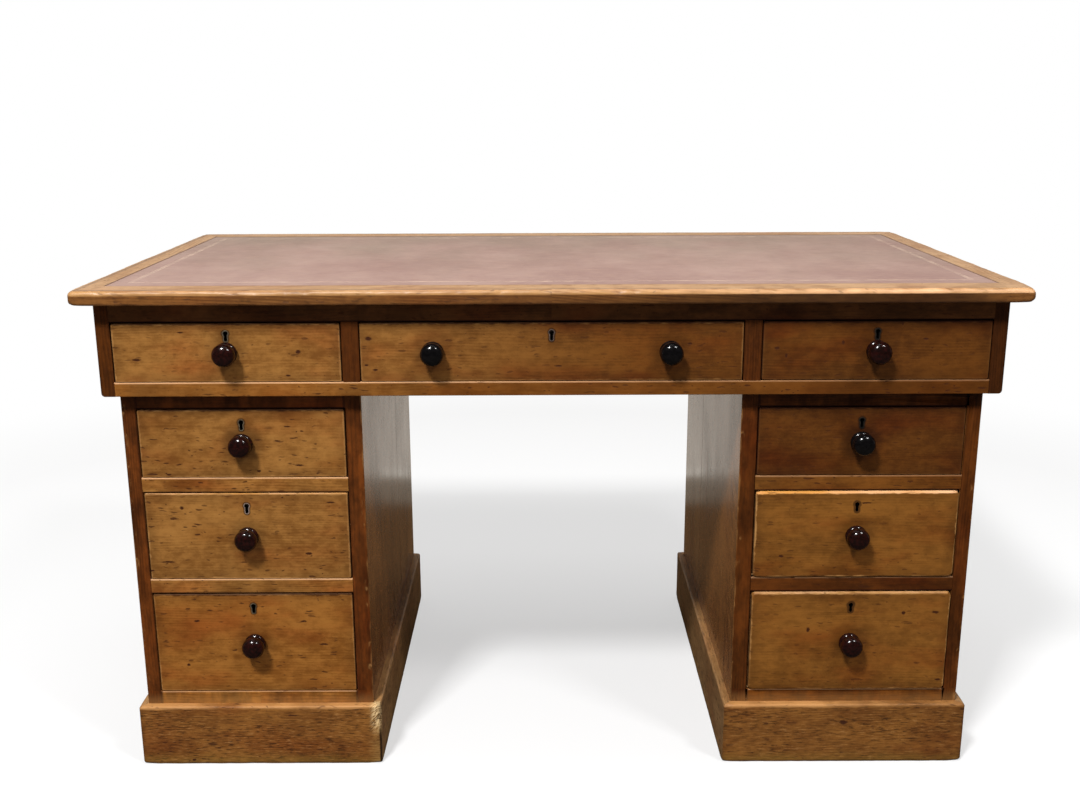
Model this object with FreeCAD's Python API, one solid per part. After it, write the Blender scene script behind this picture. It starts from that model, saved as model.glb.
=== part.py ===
import FreeCAD, Part
import math
import os
from collections import namedtuple

V = FreeCAD.Vector

# Twin-pedestal writing desk in pine, in millimetres.
# The origin is on the floor under the middle of the top. +X is to the sitter's right as seen from the
# front, the drawers open towards -Y, and +Z is up.

# Pedestals
KNEEHOLE_WIDTH = 562.0
PEDESTAL_OPENING_WIDTH = 309.5
PEDESTAL_DEPTH = 629.0
PEDESTAL_INNER_SIDE = 24.5
PEDESTAL_OUTER_SIDE = 21.0
PEDESTAL_TOP_BOARD = 23.0
PEDESTAL_BOTTOM_BOARD = 21.0
PEDESTAL_RAIL = 23.0
PEDESTAL_BACK = 14.0
BACK_RABBET = 10.0
BACK_BOARD_COUNT = 3
SIDE_FRONT_BOARD = 403.0
TOP_OPENING = 107.5
MIDDLE_OPENING = 140.0
BOTTOM_OPENING = 165.5

# Plinths
PLINTH_HEIGHT = 100.0
PLINTH_BOARD = 20.0
PLINTH_PROJECTION = 12.0
PLINTH_ARRIS = 3.0
CORNER_BLOCK = 32.0
CORNER_BLOCK_LIFT = 15.0

# Frieze, which stands out past the pedestals all round
FRIEZE_STEP = 20.0
FRIEZE_END = 21.0
FRIEZE_BACK = 16.0
FRIEZE_BACK_RABBET = 10.0
FRIEZE_PARTITION = 25.0
FRIEZE_CENTRE_OPENING = 556.0
FRIEZE_OPENING = 89.0
FRIEZE_BOTTOM_RAIL = 21.0
FRIEZE_TOP_RAIL = 28.0

# Top
TOP_OVERHANG = 26.5
TOP_THICKNESS = 21.0
TOP_ARRIS = 6.0
TOP_LOWER_ARRIS = 3.0
TOP_CORNER_SPARE = 2.5
SIDE_BORDER = 37.0
FRONT_BORDER = 50.0
PANEL_BOARD_COUNT = 4
LEATHER_THICKNESS = 1.2
LEATHER_SINK = 0.3

# Joinery of the carcass
RAIL_DEPTH = 60.0
RAIL_ARRIS = 1.0
CASE_ARRIS = 2.0
TENON_LENGTH = 8.0
TENON_SHOULDER = 6.0
TENON_SET_BACK = 10.0
RUNNER_WIDTH = 22.0
PEG_DIAMETER = 14.0
PEG_DEPTH = 12.0
PEG_SPREAD = 240.0
SCREW_HEAD = 9.0
SCREW_HEAD_DEPTH = 3.0
SCREW_SHANK = 4.4
SCREW_TIP = 5.0
SCREW_BITE = 11.0
SCREW_INSET = 70.0
CENTRE_SCREW_INSET = 110.0

# Drawers
FRONT_THICKNESS = 22.0
FRONT_LAP = 6.0
FRONT_ARRIS = 1.5
WORN_ARRIS = 3.0
BOX_SIDE = 11.0
BOX_BACK = 11.0
BOX_BOTTOM = 8.0
BOX_TOP_DROP = 3.0
BACK_TOP_DROP = 10.0
BOTTOM_LIFT = 9.0
GROOVE_DEPTH = 5.0
PEDESTAL_REAR_ROOM = 30.0
FRIEZE_REAR_ROOM = 38.0
SIDE_GAP = 1.2
TOP_GAP = 1.7
RUN_GAP = 0.3
RIGHT_MIDDLE_PROUD = 3.0
RIGHT_BOTTOM_PROUD = 4.0
TAIL_PITCH = 42.0
PIN_TIP = 5.0
TAIL_SLOPE = 6.0
STOP_WIDTH = 40.0
STOP_DEPTH = 12.0
STOP_INSET = 40.0
STOP_GAP = 0.3
STOP_CLEARANCE = 3.0

# Knobs: a collar against the drawer, a neck, and a domed bun
KNOB_DIAMETER = 35.0
KNOB_BASE_DIAMETER = 25.0
KNOB_COLLAR_DIAMETER = 29.0
KNOB_COLLAR_LENGTH = 9.5
KNOB_NECK_DIAMETER = 22.5
KNOB_NECK_LENGTH = 2.0
KNOB_SWELL = 5.5
KNOB_DOME = 14.0
KNOB_SHOULDER_SHARE = 0.64
KNOB_TENON_DIAMETER = 13.0
KNOB_TENON_SPARE = 1.0
CENTRE_KNOB_SPREAD = 343.0

# Locks
KEYHOLE_DROP = 20.0
KEYHOLE_KNOB_GAP = 0.8
KEY_HEAD = 5.6
KEY_SLOT = 3.2
KEY_SLOT_LENGTH = 9.5
ESCUTCHEON_RING = 2.0
ESCUTCHEON_DEPTH = 6.0
ESCUTCHEON_PROUD = 0.3
LOCK_WIDTH = 58.0
LOCK_DEPTH = 11.0
LOCK_BELOW_KEYHOLE = 5.0
SELVAGE_EAR = 6.0
SELVAGE_DEPTH = 13.0
SELVAGE_THICKNESS = 1.8
DRILL_PIN = 2.6
BOLT_WIDTH = 26.0
BOLT_THICKNESS = 6.0
BOLT_THROW = 7.0
BOLT_SINK = 0.3
BOLT_KEY_GAP = 1.5
BOLT_CLEARANCE = 0.4
MORTISE_CLEARANCE = 1.0
LOCK_SCREW_HEAD = 6.0
LOCK_SCREW_HEAD_DEPTH = 2.0
LOCK_SCREW_SHANK = 3.0
LOCK_SCREW_TIP = 3.0
LOCK_SCREW_BITE = 6.0
LOCK_SCREW_INSET = 8.0

# Levels and spans that follow from the sizes above
PEDESTAL_NEAR = KNEEHOLE_WIDTH / 2
OPENING_NEAR = PEDESTAL_NEAR + PEDESTAL_INNER_SIDE
OPENING_FAR = OPENING_NEAR + PEDESTAL_OPENING_WIDTH
OPENING_CENTRE = (OPENING_NEAR + OPENING_FAR) / 2
PEDESTAL_FAR = OPENING_FAR + PEDESTAL_OUTER_SIDE
PEDESTAL_CENTRE = (PEDESTAL_NEAR + PEDESTAL_FAR) / 2
PEDESTAL_FRONT = -PEDESTAL_DEPTH / 2
PEDESTAL_REAR = PEDESTAL_DEPTH / 2
PEDESTAL_DRAWER_LENGTH = PEDESTAL_DEPTH - PEDESTAL_BACK - PEDESTAL_REAR_ROOM
BOTTOM_FLOOR = PLINTH_HEIGHT + PEDESTAL_BOTTOM_BOARD
LOWER_RAIL = BOTTOM_FLOOR + BOTTOM_OPENING
MIDDLE_FLOOR = LOWER_RAIL + PEDESTAL_RAIL
UPPER_RAIL = MIDDLE_FLOOR + MIDDLE_OPENING
TOP_FLOOR = UPPER_RAIL + PEDESTAL_RAIL
TOP_BOARD = TOP_FLOOR + TOP_OPENING
PEDESTAL_HEIGHT = TOP_BOARD + PEDESTAL_TOP_BOARD

FRIEZE_HALF = PEDESTAL_FAR + FRIEZE_STEP
FRIEZE_FRONT = PEDESTAL_FRONT - FRIEZE_STEP
FRIEZE_REAR = PEDESTAL_REAR + FRIEZE_STEP
FRIEZE_DRAWER_LENGTH = FRIEZE_REAR - FRIEZE_FRONT - FRIEZE_BACK - FRIEZE_REAR_ROOM
FRIEZE_FLOOR = PEDESTAL_HEIGHT + FRIEZE_BOTTOM_RAIL
FRIEZE_CEILING = FRIEZE_FLOOR + FRIEZE_OPENING
FRIEZE_HEIGHT = FRIEZE_CEILING + FRIEZE_TOP_RAIL
END_INNER = FRIEZE_HALF - FRIEZE_END
PARTITION_INNER = FRIEZE_CENTRE_OPENING / 2
PARTITION_OUTER = PARTITION_INNER + FRIEZE_PARTITION

TOP_HALF_WIDTH = FRIEZE_HALF + TOP_OVERHANG
TOP_HALF_DEPTH = FRIEZE_REAR + TOP_OVERHANG
TOP_HEIGHT = FRIEZE_HEIGHT + TOP_THICKNESS
LEATHER_TOP = TOP_HEIGHT - LEATHER_SINK

SAME = 1e-4


def box(x0, x1, y0, y1, z0, z1):
    return Part.makeBox(x1 - x0, y1 - y0, z1 - z0, V(x0, y0, z0))


def prism(outline, z0, z1):
    """An upright prism on a plan outline."""
    corners = [V(x, y, z0) for x, y in outline]
    face = Part.Face(Part.makePolygon(corners + corners[:1]))
    return face.extrude(V(0, 0, z1 - z0))


def carve(solid, tools):
    """What is left of one piece after the pieces that are let into it."""
    return solid.cut(tools).Solids[0]


def ease(solid, radius, exposed):
    """Rounds the edges whose middle is where exposed(point) says."""
    return solid.makeFillet(radius, [e for e in solid.Edges if exposed(e.CenterOfMass)])


def at(value, level):
    return abs(value - level) < SAME


def save(node, solids):
    Part.makeCompound(solids).exportStep("parts/" + node + ".step")


def tenoned(x0, x1, y0, y1, z0, z1):
    """A board between two uprights, with a stub tenon at each end."""
    board = box(x0, x1, y0, y1, z0, z1)
    stub = box(x0 - TENON_LENGTH, x1 + TENON_LENGTH,
               y0 + TENON_SET_BACK, y1 - TENON_SET_BACK,
               z0 + TENON_SHOULDER, z1 - TENON_SHOULDER)
    return board.fuse(stub).removeSplitter().Solids[0]


def eased_rail(x0, x1, y0, y1, z0, z1):
    """A front rail whose two front arrises are taken off."""
    rail = tenoned(x0, x1, y0, y1, z0, z1)
    return ease(rail, RAIL_ARRIS, lambda p: at(p.y, y0) and (at(p.z, z0) or at(p.z, z1)))


def mitred_frame(ring, middle_x, half_x, half_y, border_x, border_y, z0, z1):
    """Cuts a four-sided ring into four boards that meet in mitres."""
    outer = [(-half_x, -half_y), (half_x, -half_y), (half_x, half_y), (-half_x, half_y)]
    inner_x = half_x - border_x
    inner_y = half_y - border_y
    inner = [(-inner_x, -inner_y), (inner_x, -inner_y), (inner_x, inner_y), (-inner_x, inner_y)]
    boards = []
    for i in range(4):
        j = (i + 1) % 4
        outline = [(x + middle_x, y) for x, y in (outer[i], outer[j], inner[j], inner[i])]
        boards.append(ring.common(prism(outline, z0, z1)).Solids[0])
    return boards


def screw(head_at, direction, length, head, head_depth, shank, tip):
    """A countersunk screw whose head is flush at head_at and which runs along direction."""
    body = Part.makeCone(head / 2, shank / 2, head_depth)
    body = body.fuse(Part.makeCylinder(shank / 2, length - head_depth - tip, V(0, 0, head_depth)))
    body = body.fuse(Part.makeCone(shank / 2, 0, tip, V(0, 0, length - tip)))
    body = body.removeSplitter().Solids[0]
    body.Placement = FreeCAD.Placement(head_at, FreeCAD.Rotation(V(0, 0, 1), direction))
    return body


def carcass_screw(head_at, direction, through):
    """A screw that passes through a strip and bites into the board behind it."""
    return screw(head_at, direction, through + SCREW_BITE,
                 SCREW_HEAD, SCREW_HEAD_DEPTH, SCREW_SHANK, SCREW_TIP)


# Drawer fronts, placed in their openings. face is the y of the front's outer face, and key_z the level
# of the keyhole's round head.
Drawer = namedtuple("Drawer", "name x0 x1 face z0 z1 length arris knob_xs knob_z key_z lined")


def drawer_in(name, opening_x0, opening_x1, face, floor, ceiling, length, knob_xs,
              arris=FRONT_ARRIS, lined=True, key_over_knob=False):
    z0 = floor + RUN_GAP
    z1 = ceiling - TOP_GAP
    knob_z = (z0 + z1) / 2
    key_z = z1 - KEYHOLE_DROP
    if key_over_knob:
        below_head = KEY_SLOT_LENGTH + KEY_SLOT / 2 + ESCUTCHEON_RING
        key_z = knob_z + KNOB_COLLAR_DIAMETER / 2 + KEYHOLE_KNOB_GAP + below_head
    return Drawer(name, opening_x0 + SIDE_GAP, opening_x1 - SIDE_GAP, face, z0, z1, length, arris,
                  knob_xs, knob_z, key_z, lined)


def pedestal_drawers(side, sign):
    middle = sign * OPENING_CENTRE
    x0 = middle - PEDESTAL_OPENING_WIDTH / 2
    x1 = middle + PEDESTAL_OPENING_WIDTH / 2
    openings = {"top": (TOP_FLOOR, TOP_BOARD),
                "middle": (MIDDLE_FLOOR, UPPER_RAIL),
                "bottom": (BOTTOM_FLOOR, LOWER_RAIL)}
    # Two fronts on the right have worn arrises, stand proud and have lost their escutcheons.
    proud = {"right_middle": RIGHT_MIDDLE_PROUD, "right_bottom": RIGHT_BOTTOM_PROUD}
    drawers = []
    for place, (floor, ceiling) in openings.items():
        key = side + "_" + place
        worn = key in proud
        face = PEDESTAL_FRONT - proud.get(key, 0.0)
        arris = WORN_ARRIS if worn else FRONT_ARRIS
        drawers.append(drawer_in(key + "_drawer", x0, x1, face, floor, ceiling,
                                 PEDESTAL_DRAWER_LENGTH, [middle], arris, not worn))
    return drawers


def frieze_drawers():
    side_middle = (END_INNER + PARTITION_OUTER) / 2
    half_spread = CENTRE_KNOB_SPREAD / 2
    spans = {"frieze_left": (-END_INNER, -PARTITION_OUTER, [-side_middle]),
             "frieze_centre": (-PARTITION_INNER, PARTITION_INNER, [-half_spread, half_spread]),
             "frieze_right": (PARTITION_OUTER, END_INNER, [side_middle])}
    return [drawer_in(key + "_drawer", x0, x1, FRIEZE_FRONT, FRIEZE_FLOOR, FRIEZE_CEILING,
                      FRIEZE_DRAWER_LENGTH, knob_xs, key_over_knob=True)
            for key, (x0, x1, knob_xs) in spans.items()]


def tails(x0, x1, root, tip, z0, z1):
    """Dovetails on the end of a drawer side, widest at their tips."""
    count = max(2, round((z1 - z0) / TAIL_PITCH))
    pitch = (z1 - z0) / count
    half_tip = (pitch - PIN_TIP) / 2
    half_root = half_tip - abs(tip - root) / TAIL_SLOPE
    solids = []
    for i in range(count):
        middle = z0 + (i + 0.5) * pitch
        corners = [V(x0, root, middle - half_root), V(x0, tip, middle - half_tip),
                   V(x0, tip, middle + half_tip), V(x0, root, middle + half_root)]
        face = Part.Face(Part.makePolygon(corners + corners[:1]))
        solids.append(face.extrude(V(x1 - x0, 0, 0)))
    return solids


def drawer_box(drawer):
    """Two dovetailed sides, a back and a bottom that slides in under the back."""
    shoulder = drawer.face + FRONT_THICKNESS
    rear = drawer.face + drawer.length
    back_face = rear - BOX_BACK
    side_top = drawer.z1 - BOX_TOP_DROP
    bottom_z = drawer.z0 + BOTTOM_LIFT
    back_z0 = bottom_z + BOX_BOTTOM
    back_z1 = drawer.z1 - BACK_TOP_DROP
    inner_x0 = drawer.x0 + BOX_SIDE
    inner_x1 = drawer.x1 - BOX_SIDE
    bottom = box(inner_x0 - GROOVE_DEPTH, inner_x1 + GROOVE_DEPTH,
                 shoulder - GROOVE_DEPTH, rear, bottom_z, back_z0)
    sides = []
    for x0, x1 in ((drawer.x0, inner_x0), (inner_x1, drawer.x1)):
        board = box(x0, x1, shoulder, back_face, drawer.z0, side_top)
        ends = tails(x0, x1, shoulder, drawer.face + FRONT_LAP, drawer.z0, side_top)
        ends += tails(x0, x1, back_face, rear, back_z0, back_z1)
        ends.append(box(x0, x1, back_face, rear, drawer.z0, back_z0))
        ends.append(box(x0, x1, back_face, rear, back_z1, side_top))
        board = board.fuse(ends).removeSplitter().Solids[0]
        sides.append(carve(board, [bottom]))
    back = carve(box(drawer.x0, drawer.x1, back_face, rear, back_z0, back_z1), sides)
    return sides, back, bottom


def knob(x, face, z):
    """A turned knob with its tenon, revolved about its axis."""
    def point(out, radius):
        return V(radius, -out, 0)

    def arc(out, radius, bend, start, end):
        """An arc about (out, radius), whose angles run from outwards across the axis towards the tip."""
        ends = [point(out + bend * math.sin(a), radius + bend * math.cos(a))
                for a in (start, (start + end) / 2, end)]
        return Part.Arc(*ends).toShape()

    tenon_length = FRONT_THICKNESS - LOCK_DEPTH - KNOB_TENON_SPARE
    tenon = KNOB_TENON_DIAMETER / 2
    base = KNOB_BASE_DIAMETER / 2
    neck = KNOB_NECK_DIAMETER / 2
    widest = KNOB_DIAMETER / 2
    bun_start = KNOB_COLLAR_LENGTH + KNOB_NECK_LENGTH
    widest_out = bun_start + KNOB_SWELL
    tip = widest_out + KNOB_DOME
    # The dome is a cap about a point on the axis, run into the widest ring by a tighter shoulder.
    shoulder = KNOB_SHOULDER_SHARE * KNOB_DOME
    inset = widest - shoulder
    reach = tip - shoulder
    cap_out = (reach ** 2 - widest_out ** 2 - inset ** 2) / (2 * (reach - widest_out))
    turn = math.atan2(widest_out - cap_out, inset)
    collar = Part.Arc(point(0, base),
                      point(KNOB_COLLAR_LENGTH / 2, KNOB_COLLAR_DIAMETER / 2),
                      point(KNOB_COLLAR_LENGTH, neck))
    groove = [point(KNOB_COLLAR_LENGTH, neck), point(bun_start, neck),
              point(bun_start, widest - KNOB_SWELL)]
    shank = [point(tip, 0), point(-tenon_length, 0), point(-tenon_length, tenon),
             point(0, tenon), point(0, base)]
    edges = [collar.toShape(),
             arc(widest_out, widest - KNOB_SWELL, KNOB_SWELL, -math.pi / 2, 0),
             arc(widest_out, inset, shoulder, 0, turn),
             arc(cap_out, 0, tip - cap_out, turn, math.pi / 2)]
    for line in (groove, shank):
        edges += [Part.makeLine(a, b) for a, b in zip(line, line[1:])]
    profile = Part.Face(Part.Wire(Part.__sortEdges__(edges)))
    solid = profile.revolve(V(0, 0, 0), V(0, 1, 0), 360)
    solid.translate(V(x, face, z))
    return solid


def keyhole(x, z, head, slot, y0, y1):
    """A keyhole-shaped prism from y0 to y1: a round head over a slot with a round foot."""
    along = V(0, 1, 0)
    foot = z - KEY_SLOT_LENGTH
    shape = Part.makeCylinder(head / 2, y1 - y0, V(x, y0, z), along)
    shape = shape.fuse(box(x - slot / 2, x + slot / 2, y0, y1, foot, z))
    shape = shape.fuse(Part.makeCylinder(slot / 2, y1 - y0, V(x, y0, foot), along))
    return shape.removeSplitter().Solids[0]


def drawer_lock(drawer):
    """The lock's pieces, and what they and the keyhole take out of the drawer front."""
    x = (drawer.x0 + drawer.x1) / 2
    inner_face = drawer.face + FRONT_THICKNESS
    case_y = inner_face - LOCK_DEPTH
    foot = drawer.key_z - KEY_SLOT_LENGTH - KEY_SLOT / 2 - LOCK_BELOW_KEYHOLE
    half = LOCK_WIDTH / 2
    body = box(x - half, x + half, case_y, inner_face, foot, drawer.z1)
    selvage = box(x - half - SELVAGE_EAR, x + half + SELVAGE_EAR, inner_face - SELVAGE_DEPTH, inner_face,
                  drawer.z1 - SELVAGE_THICKNESS, drawer.z1)
    body = body.fuse(selvage).removeSplitter().Solids[0]

    bolt_y = inner_face - LOCK_DEPTH / 2 - BOLT_THICKNESS / 2
    bolt = box(x - BOLT_WIDTH / 2, x + BOLT_WIDTH / 2, bolt_y, bolt_y + BOLT_THICKNESS,
               drawer.key_z + KEY_HEAD / 2 + BOLT_KEY_GAP, drawer.z1 - BOLT_SINK)
    room_y0 = bolt_y - BOLT_CLEARANCE
    room_y1 = bolt_y + BOLT_THICKNESS + BOLT_CLEARANCE
    room_half = BOLT_WIDTH / 2 + BOLT_CLEARANCE
    room = box(x - room_half, x + room_half, room_y0, room_y1,
               drawer.key_z - KEY_SLOT_LENGTH - KEY_SLOT, drawer.z1)
    hole = keyhole(x, drawer.key_z, KEY_HEAD, KEY_SLOT, drawer.face, room_y1)
    pin = Part.makeCylinder(DRILL_PIN / 2, room_y1 - case_y, V(x, case_y, drawer.key_z), V(0, 1, 0))
    screws = [screw(V(x + side * (half - LOCK_SCREW_INSET), inner_face, foot + LOCK_SCREW_INSET),
                    V(0, -1, 0), LOCK_DEPTH + LOCK_SCREW_BITE, LOCK_SCREW_HEAD,
                    LOCK_SCREW_HEAD_DEPTH, LOCK_SCREW_SHANK, LOCK_SCREW_TIP)
              for side in (-1, 1)]
    case = carve(body, [room, hole] + screws).fuse(pin).removeSplitter().Solids[0]
    pieces = [case] + screws
    taken_out = [body, hole] + screws
    if drawer.lined:
        ring = keyhole(x, drawer.key_z, KEY_HEAD + 2 * ESCUTCHEON_RING, KEY_SLOT + 2 * ESCUTCHEON_RING,
                       drawer.face - ESCUTCHEON_PROUD, drawer.face + ESCUTCHEON_DEPTH)
        through = keyhole(x, drawer.key_z, KEY_HEAD, KEY_SLOT,
                          drawer.face - ESCUTCHEON_PROUD, drawer.face + ESCUTCHEON_DEPTH)
        pieces.append(carve(ring, [through]))
        taken_out.append(ring)
    return pieces, bolt, taken_out


def bolt_mortise(drawer, rail_z):
    """The slot in the rail above a drawer that its bolt rises into."""
    x = (drawer.x0 + drawer.x1) / 2
    y = drawer.face + FRONT_THICKNESS - LOCK_DEPTH / 2
    half_x = BOLT_WIDTH / 2 + MORTISE_CLEARANCE
    half_y = BOLT_THICKNESS / 2 + MORTISE_CLEARANCE
    depth = BOLT_THROW - BOLT_SINK - TOP_GAP + MORTISE_CLEARANCE
    return box(x - half_x, x + half_x, y - half_y, y + half_y, rail_z, rail_z + depth)


def drawer_stops(drawer, floor):
    """Two blocks on the rail, just behind the drawer front and under the drawer bottom."""
    y0 = drawer.face + FRONT_THICKNESS + STOP_GAP
    height = BOTTOM_LIFT - STOP_CLEARANCE
    lefts = (drawer.x0 + STOP_INSET, drawer.x1 - STOP_INSET - STOP_WIDTH)
    return [box(x, x + STOP_WIDTH, y0, y0 + STOP_DEPTH, floor, floor + height) for x in lefts]


def save_drawer(drawer):
    sides, back, bottom = drawer_box(drawer)
    knobs = [knob(x, drawer.face, drawer.knob_z) for x in drawer.knob_xs]
    lock_pieces, bolt, taken_out = drawer_lock(drawer)
    front = box(drawer.x0, drawer.x1, drawer.face, drawer.face + FRONT_THICKNESS, drawer.z0, drawer.z1)
    front = ease(front, drawer.arris, lambda p: at(p.y, drawer.face))
    front = carve(front, sides + [bottom] + knobs + taken_out)
    save(drawer.name + "_front", [front])
    save(drawer.name + "_box", sides + [back, bottom])
    save(drawer.name + ("_knobs" if len(knobs) > 1 else "_knob"), knobs)
    save(drawer.name + "_lock", lock_pieces)
    save(drawer.name + "_bolt", [bolt])


def save_top():
    z0 = FRIEZE_HEIGHT
    slab = box(-TOP_HALF_WIDTH, TOP_HALF_WIDTH, -TOP_HALF_DEPTH, TOP_HALF_DEPTH, z0, TOP_HEIGHT)
    slab = ease(slab, TOP_ARRIS + TOP_CORNER_SPARE,
                lambda p: at(abs(p.x), TOP_HALF_WIDTH) and at(abs(p.y), TOP_HALF_DEPTH))
    slab = ease(slab, TOP_ARRIS, lambda p: at(p.z, TOP_HEIGHT))
    slab = ease(slab, TOP_LOWER_ARRIS, lambda p: at(p.z, z0))
    inner_x = TOP_HALF_WIDTH - SIDE_BORDER
    inner_y = TOP_HALF_DEPTH - FRONT_BORDER
    ring = carve(slab, [box(-inner_x, inner_x, -inner_y, inner_y, z0, TOP_HEIGHT)])
    border = mitred_frame(ring, 0, TOP_HALF_WIDTH, TOP_HALF_DEPTH, SIDE_BORDER, FRONT_BORDER,
                          z0, TOP_HEIGHT)
    leather_z = LEATHER_TOP - LEATHER_THICKNESS
    board_width = 2 * inner_y / PANEL_BOARD_COUNT
    panel = [box(-inner_x, inner_x, -inner_y + i * board_width, -inner_y + (i + 1) * board_width,
                 z0, leather_z)
             for i in range(PANEL_BOARD_COUNT)]
    screws = kicker_screws()
    save("top_border", [carve(board, screws) for board in border])
    save("top_panel", [carve(board, screws) for board in panel])
    save("leather_inset", [box(-inner_x, inner_x, -inner_y, inner_y, leather_z, LEATHER_TOP)])


# The strips that carry and guide the frieze drawers: (x of the board face, side that the strip is on,
# inset of its screws)
FRIEZE_STRIPS = [(-END_INNER, 1, SCREW_INSET),
                 (-PARTITION_OUTER, -1, SCREW_INSET),
                 (-PARTITION_INNER, 1, CENTRE_SCREW_INSET),
                 (PARTITION_INNER, -1, CENTRE_SCREW_INSET),
                 (PARTITION_OUTER, 1, SCREW_INSET),
                 (END_INNER, -1, SCREW_INSET)]
FRIEZE_STRIP_Y0 = FRIEZE_FRONT + RAIL_DEPTH
FRIEZE_STRIP_Y1 = FRIEZE_REAR - FRIEZE_BACK


def strip(x, side, y0, y1, z0, z1):
    """A runner or kicker fixed to the board face at x."""
    return box(min(x, x + side * RUNNER_WIDTH), max(x, x + side * RUNNER_WIDTH), y0, y1, z0, z1)


def runner_screws(x, side, inset, y0, y1, z):
    """Two screws through a runner into the board that it is fixed to."""
    return [carcass_screw(V(x + side * RUNNER_WIDTH, y, z), V(-side, 0, 0), RUNNER_WIDTH)
            for y in (y0 + inset, y1 - inset)]


def kicker_screws():
    """Screws up through the frieze kickers into the top."""
    return [carcass_screw(V(x + side * RUNNER_WIDTH / 2, y, FRIEZE_CEILING), V(0, 0, 1), FRIEZE_TOP_RAIL)
            for x, side, inset in FRIEZE_STRIPS
            for y in (FRIEZE_STRIP_Y0 + inset, FRIEZE_STRIP_Y1 - inset)]


def frieze_runner_screws():
    z = (PEDESTAL_HEIGHT + FRIEZE_FLOOR) / 2
    screws = []
    for x, side, inset in FRIEZE_STRIPS:
        screws += runner_screws(x, side, inset, FRIEZE_STRIP_Y0, FRIEZE_STRIP_Y1, z)
    return screws


def locating_pegs(sign):
    """Two pegs in a pedestal's top board that stand up into the frieze's bottom rail."""
    y = PEDESTAL_FRONT + (RAIL_DEPTH - FRIEZE_STEP) / 2
    return [Part.makeCylinder(PEG_DIAMETER / 2, 2 * PEG_DEPTH,
                              V(sign * OPENING_CENTRE + side * PEG_SPREAD / 2, y,
                                PEDESTAL_HEIGHT - PEG_DEPTH))
            for side in (-1, 1)]


def save_frieze(drawers):
    z0 = PEDESTAL_HEIGHT
    mortises = [bolt_mortise(drawer, FRIEZE_CEILING) for drawer in drawers]
    bottom_rail = eased_rail(-END_INNER, END_INNER, FRIEZE_FRONT, FRIEZE_FRONT + RAIL_DEPTH,
                             z0, FRIEZE_FLOOR)
    bottom_rail = carve(bottom_rail, locating_pegs(-1) + locating_pegs(1))
    top_rail = eased_rail(-END_INNER, END_INNER, FRIEZE_FRONT, FRIEZE_FRONT + RAIL_DEPTH,
                          FRIEZE_CEILING, FRIEZE_HEIGHT)
    top_rail = carve(top_rail, mortises)
    back = box(-END_INNER - FRIEZE_BACK_RABBET, END_INNER + FRIEZE_BACK_RABBET,
               FRIEZE_STRIP_Y1, FRIEZE_REAR, z0, FRIEZE_HEIGHT)
    runner_fixings = frieze_runner_screws()
    ends = []
    partitions = []
    for sign in (-1, 1):
        outer = sign * FRIEZE_HALF
        end = box(min(outer, sign * END_INNER), max(outer, sign * END_INNER),
                  FRIEZE_FRONT, FRIEZE_REAR, z0, FRIEZE_HEIGHT)
        end = ease(end, CASE_ARRIS, lambda p: at(p.x, outer) and not at(p.z, FRIEZE_HEIGHT))
        ends.append(carve(end, [back, bottom_rail, top_rail] + runner_fixings))
        near = sign * PARTITION_INNER
        far = sign * PARTITION_OUTER
        partition = box(min(near, far), max(near, far), FRIEZE_FRONT, FRIEZE_STRIP_Y1, z0, FRIEZE_HEIGHT)
        around = [box(min(near, far), max(near, far), FRIEZE_FRONT, FRIEZE_FRONT + RAIL_DEPTH, low, high)
                  for low, high in ((z0, FRIEZE_FLOOR), (FRIEZE_CEILING, FRIEZE_HEIGHT))]
        partitions.append(carve(partition, around + runner_fixings))
    runners = []
    for x, side, inset in FRIEZE_STRIPS:
        runner = strip(x, side, FRIEZE_STRIP_Y0, FRIEZE_STRIP_Y1, z0, FRIEZE_FLOOR)
        kicker = strip(x, side, FRIEZE_STRIP_Y0, FRIEZE_STRIP_Y1, FRIEZE_CEILING, FRIEZE_HEIGHT)
        runners.append(carve(runner, runner_fixings))
        runners.append(carve(kicker, kicker_screws()))
    for drawer in drawers:
        runners += drawer_stops(drawer, FRIEZE_FLOOR)
    save("frieze_rails", [bottom_rail, top_rail])
    save("frieze_back", [back])
    save("frieze_ends", ends)
    save("frieze_partitions", partitions)
    save("frieze_runners", runners)


def pedestal_faces(sign):
    """The inner faces of a pedestal's two sides: (x of the face, side that the runners are on)."""
    middle = sign * OPENING_CENTRE
    return [(middle - PEDESTAL_OPENING_WIDTH / 2, 1), (middle + PEDESTAL_OPENING_WIDTH / 2, -1)]


RUNNER_Y0 = PEDESTAL_FRONT + RAIL_DEPTH
RUNNER_Y1 = PEDESTAL_REAR - PEDESTAL_BACK


def pedestal_runner_screws(sign):
    screws = []
    for rail_z in (LOWER_RAIL, UPPER_RAIL):
        for x, side in pedestal_faces(sign):
            screws += runner_screws(x, side, SCREW_INSET, RUNNER_Y0, RUNNER_Y1,
                                    rail_z + PEDESTAL_RAIL / 2)
    return screws


def pedestal_rails(sign, mortises):
    (x0, _), (x1, _) = pedestal_faces(sign)
    rails = [eased_rail(x0, x1, PEDESTAL_FRONT, PEDESTAL_FRONT + RAIL_DEPTH, z, z + PEDESTAL_RAIL)
             for z in (LOWER_RAIL, UPPER_RAIL)]
    return [carve(rail, mortises) for rail in rails]


def pedestal_runners(sign, drawers):
    """Runners behind the rails, and the stops of the three drawers."""
    screws = pedestal_runner_screws(sign)
    pieces = [carve(strip(x, side, RUNNER_Y0, RUNNER_Y1, z, z + PEDESTAL_RAIL), screws)
              for z in (LOWER_RAIL, UPPER_RAIL)
              for x, side in pedestal_faces(sign)]
    for drawer in drawers:
        pieces += drawer_stops(drawer, drawer.z0 - RUN_GAP)
    return pieces


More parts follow.
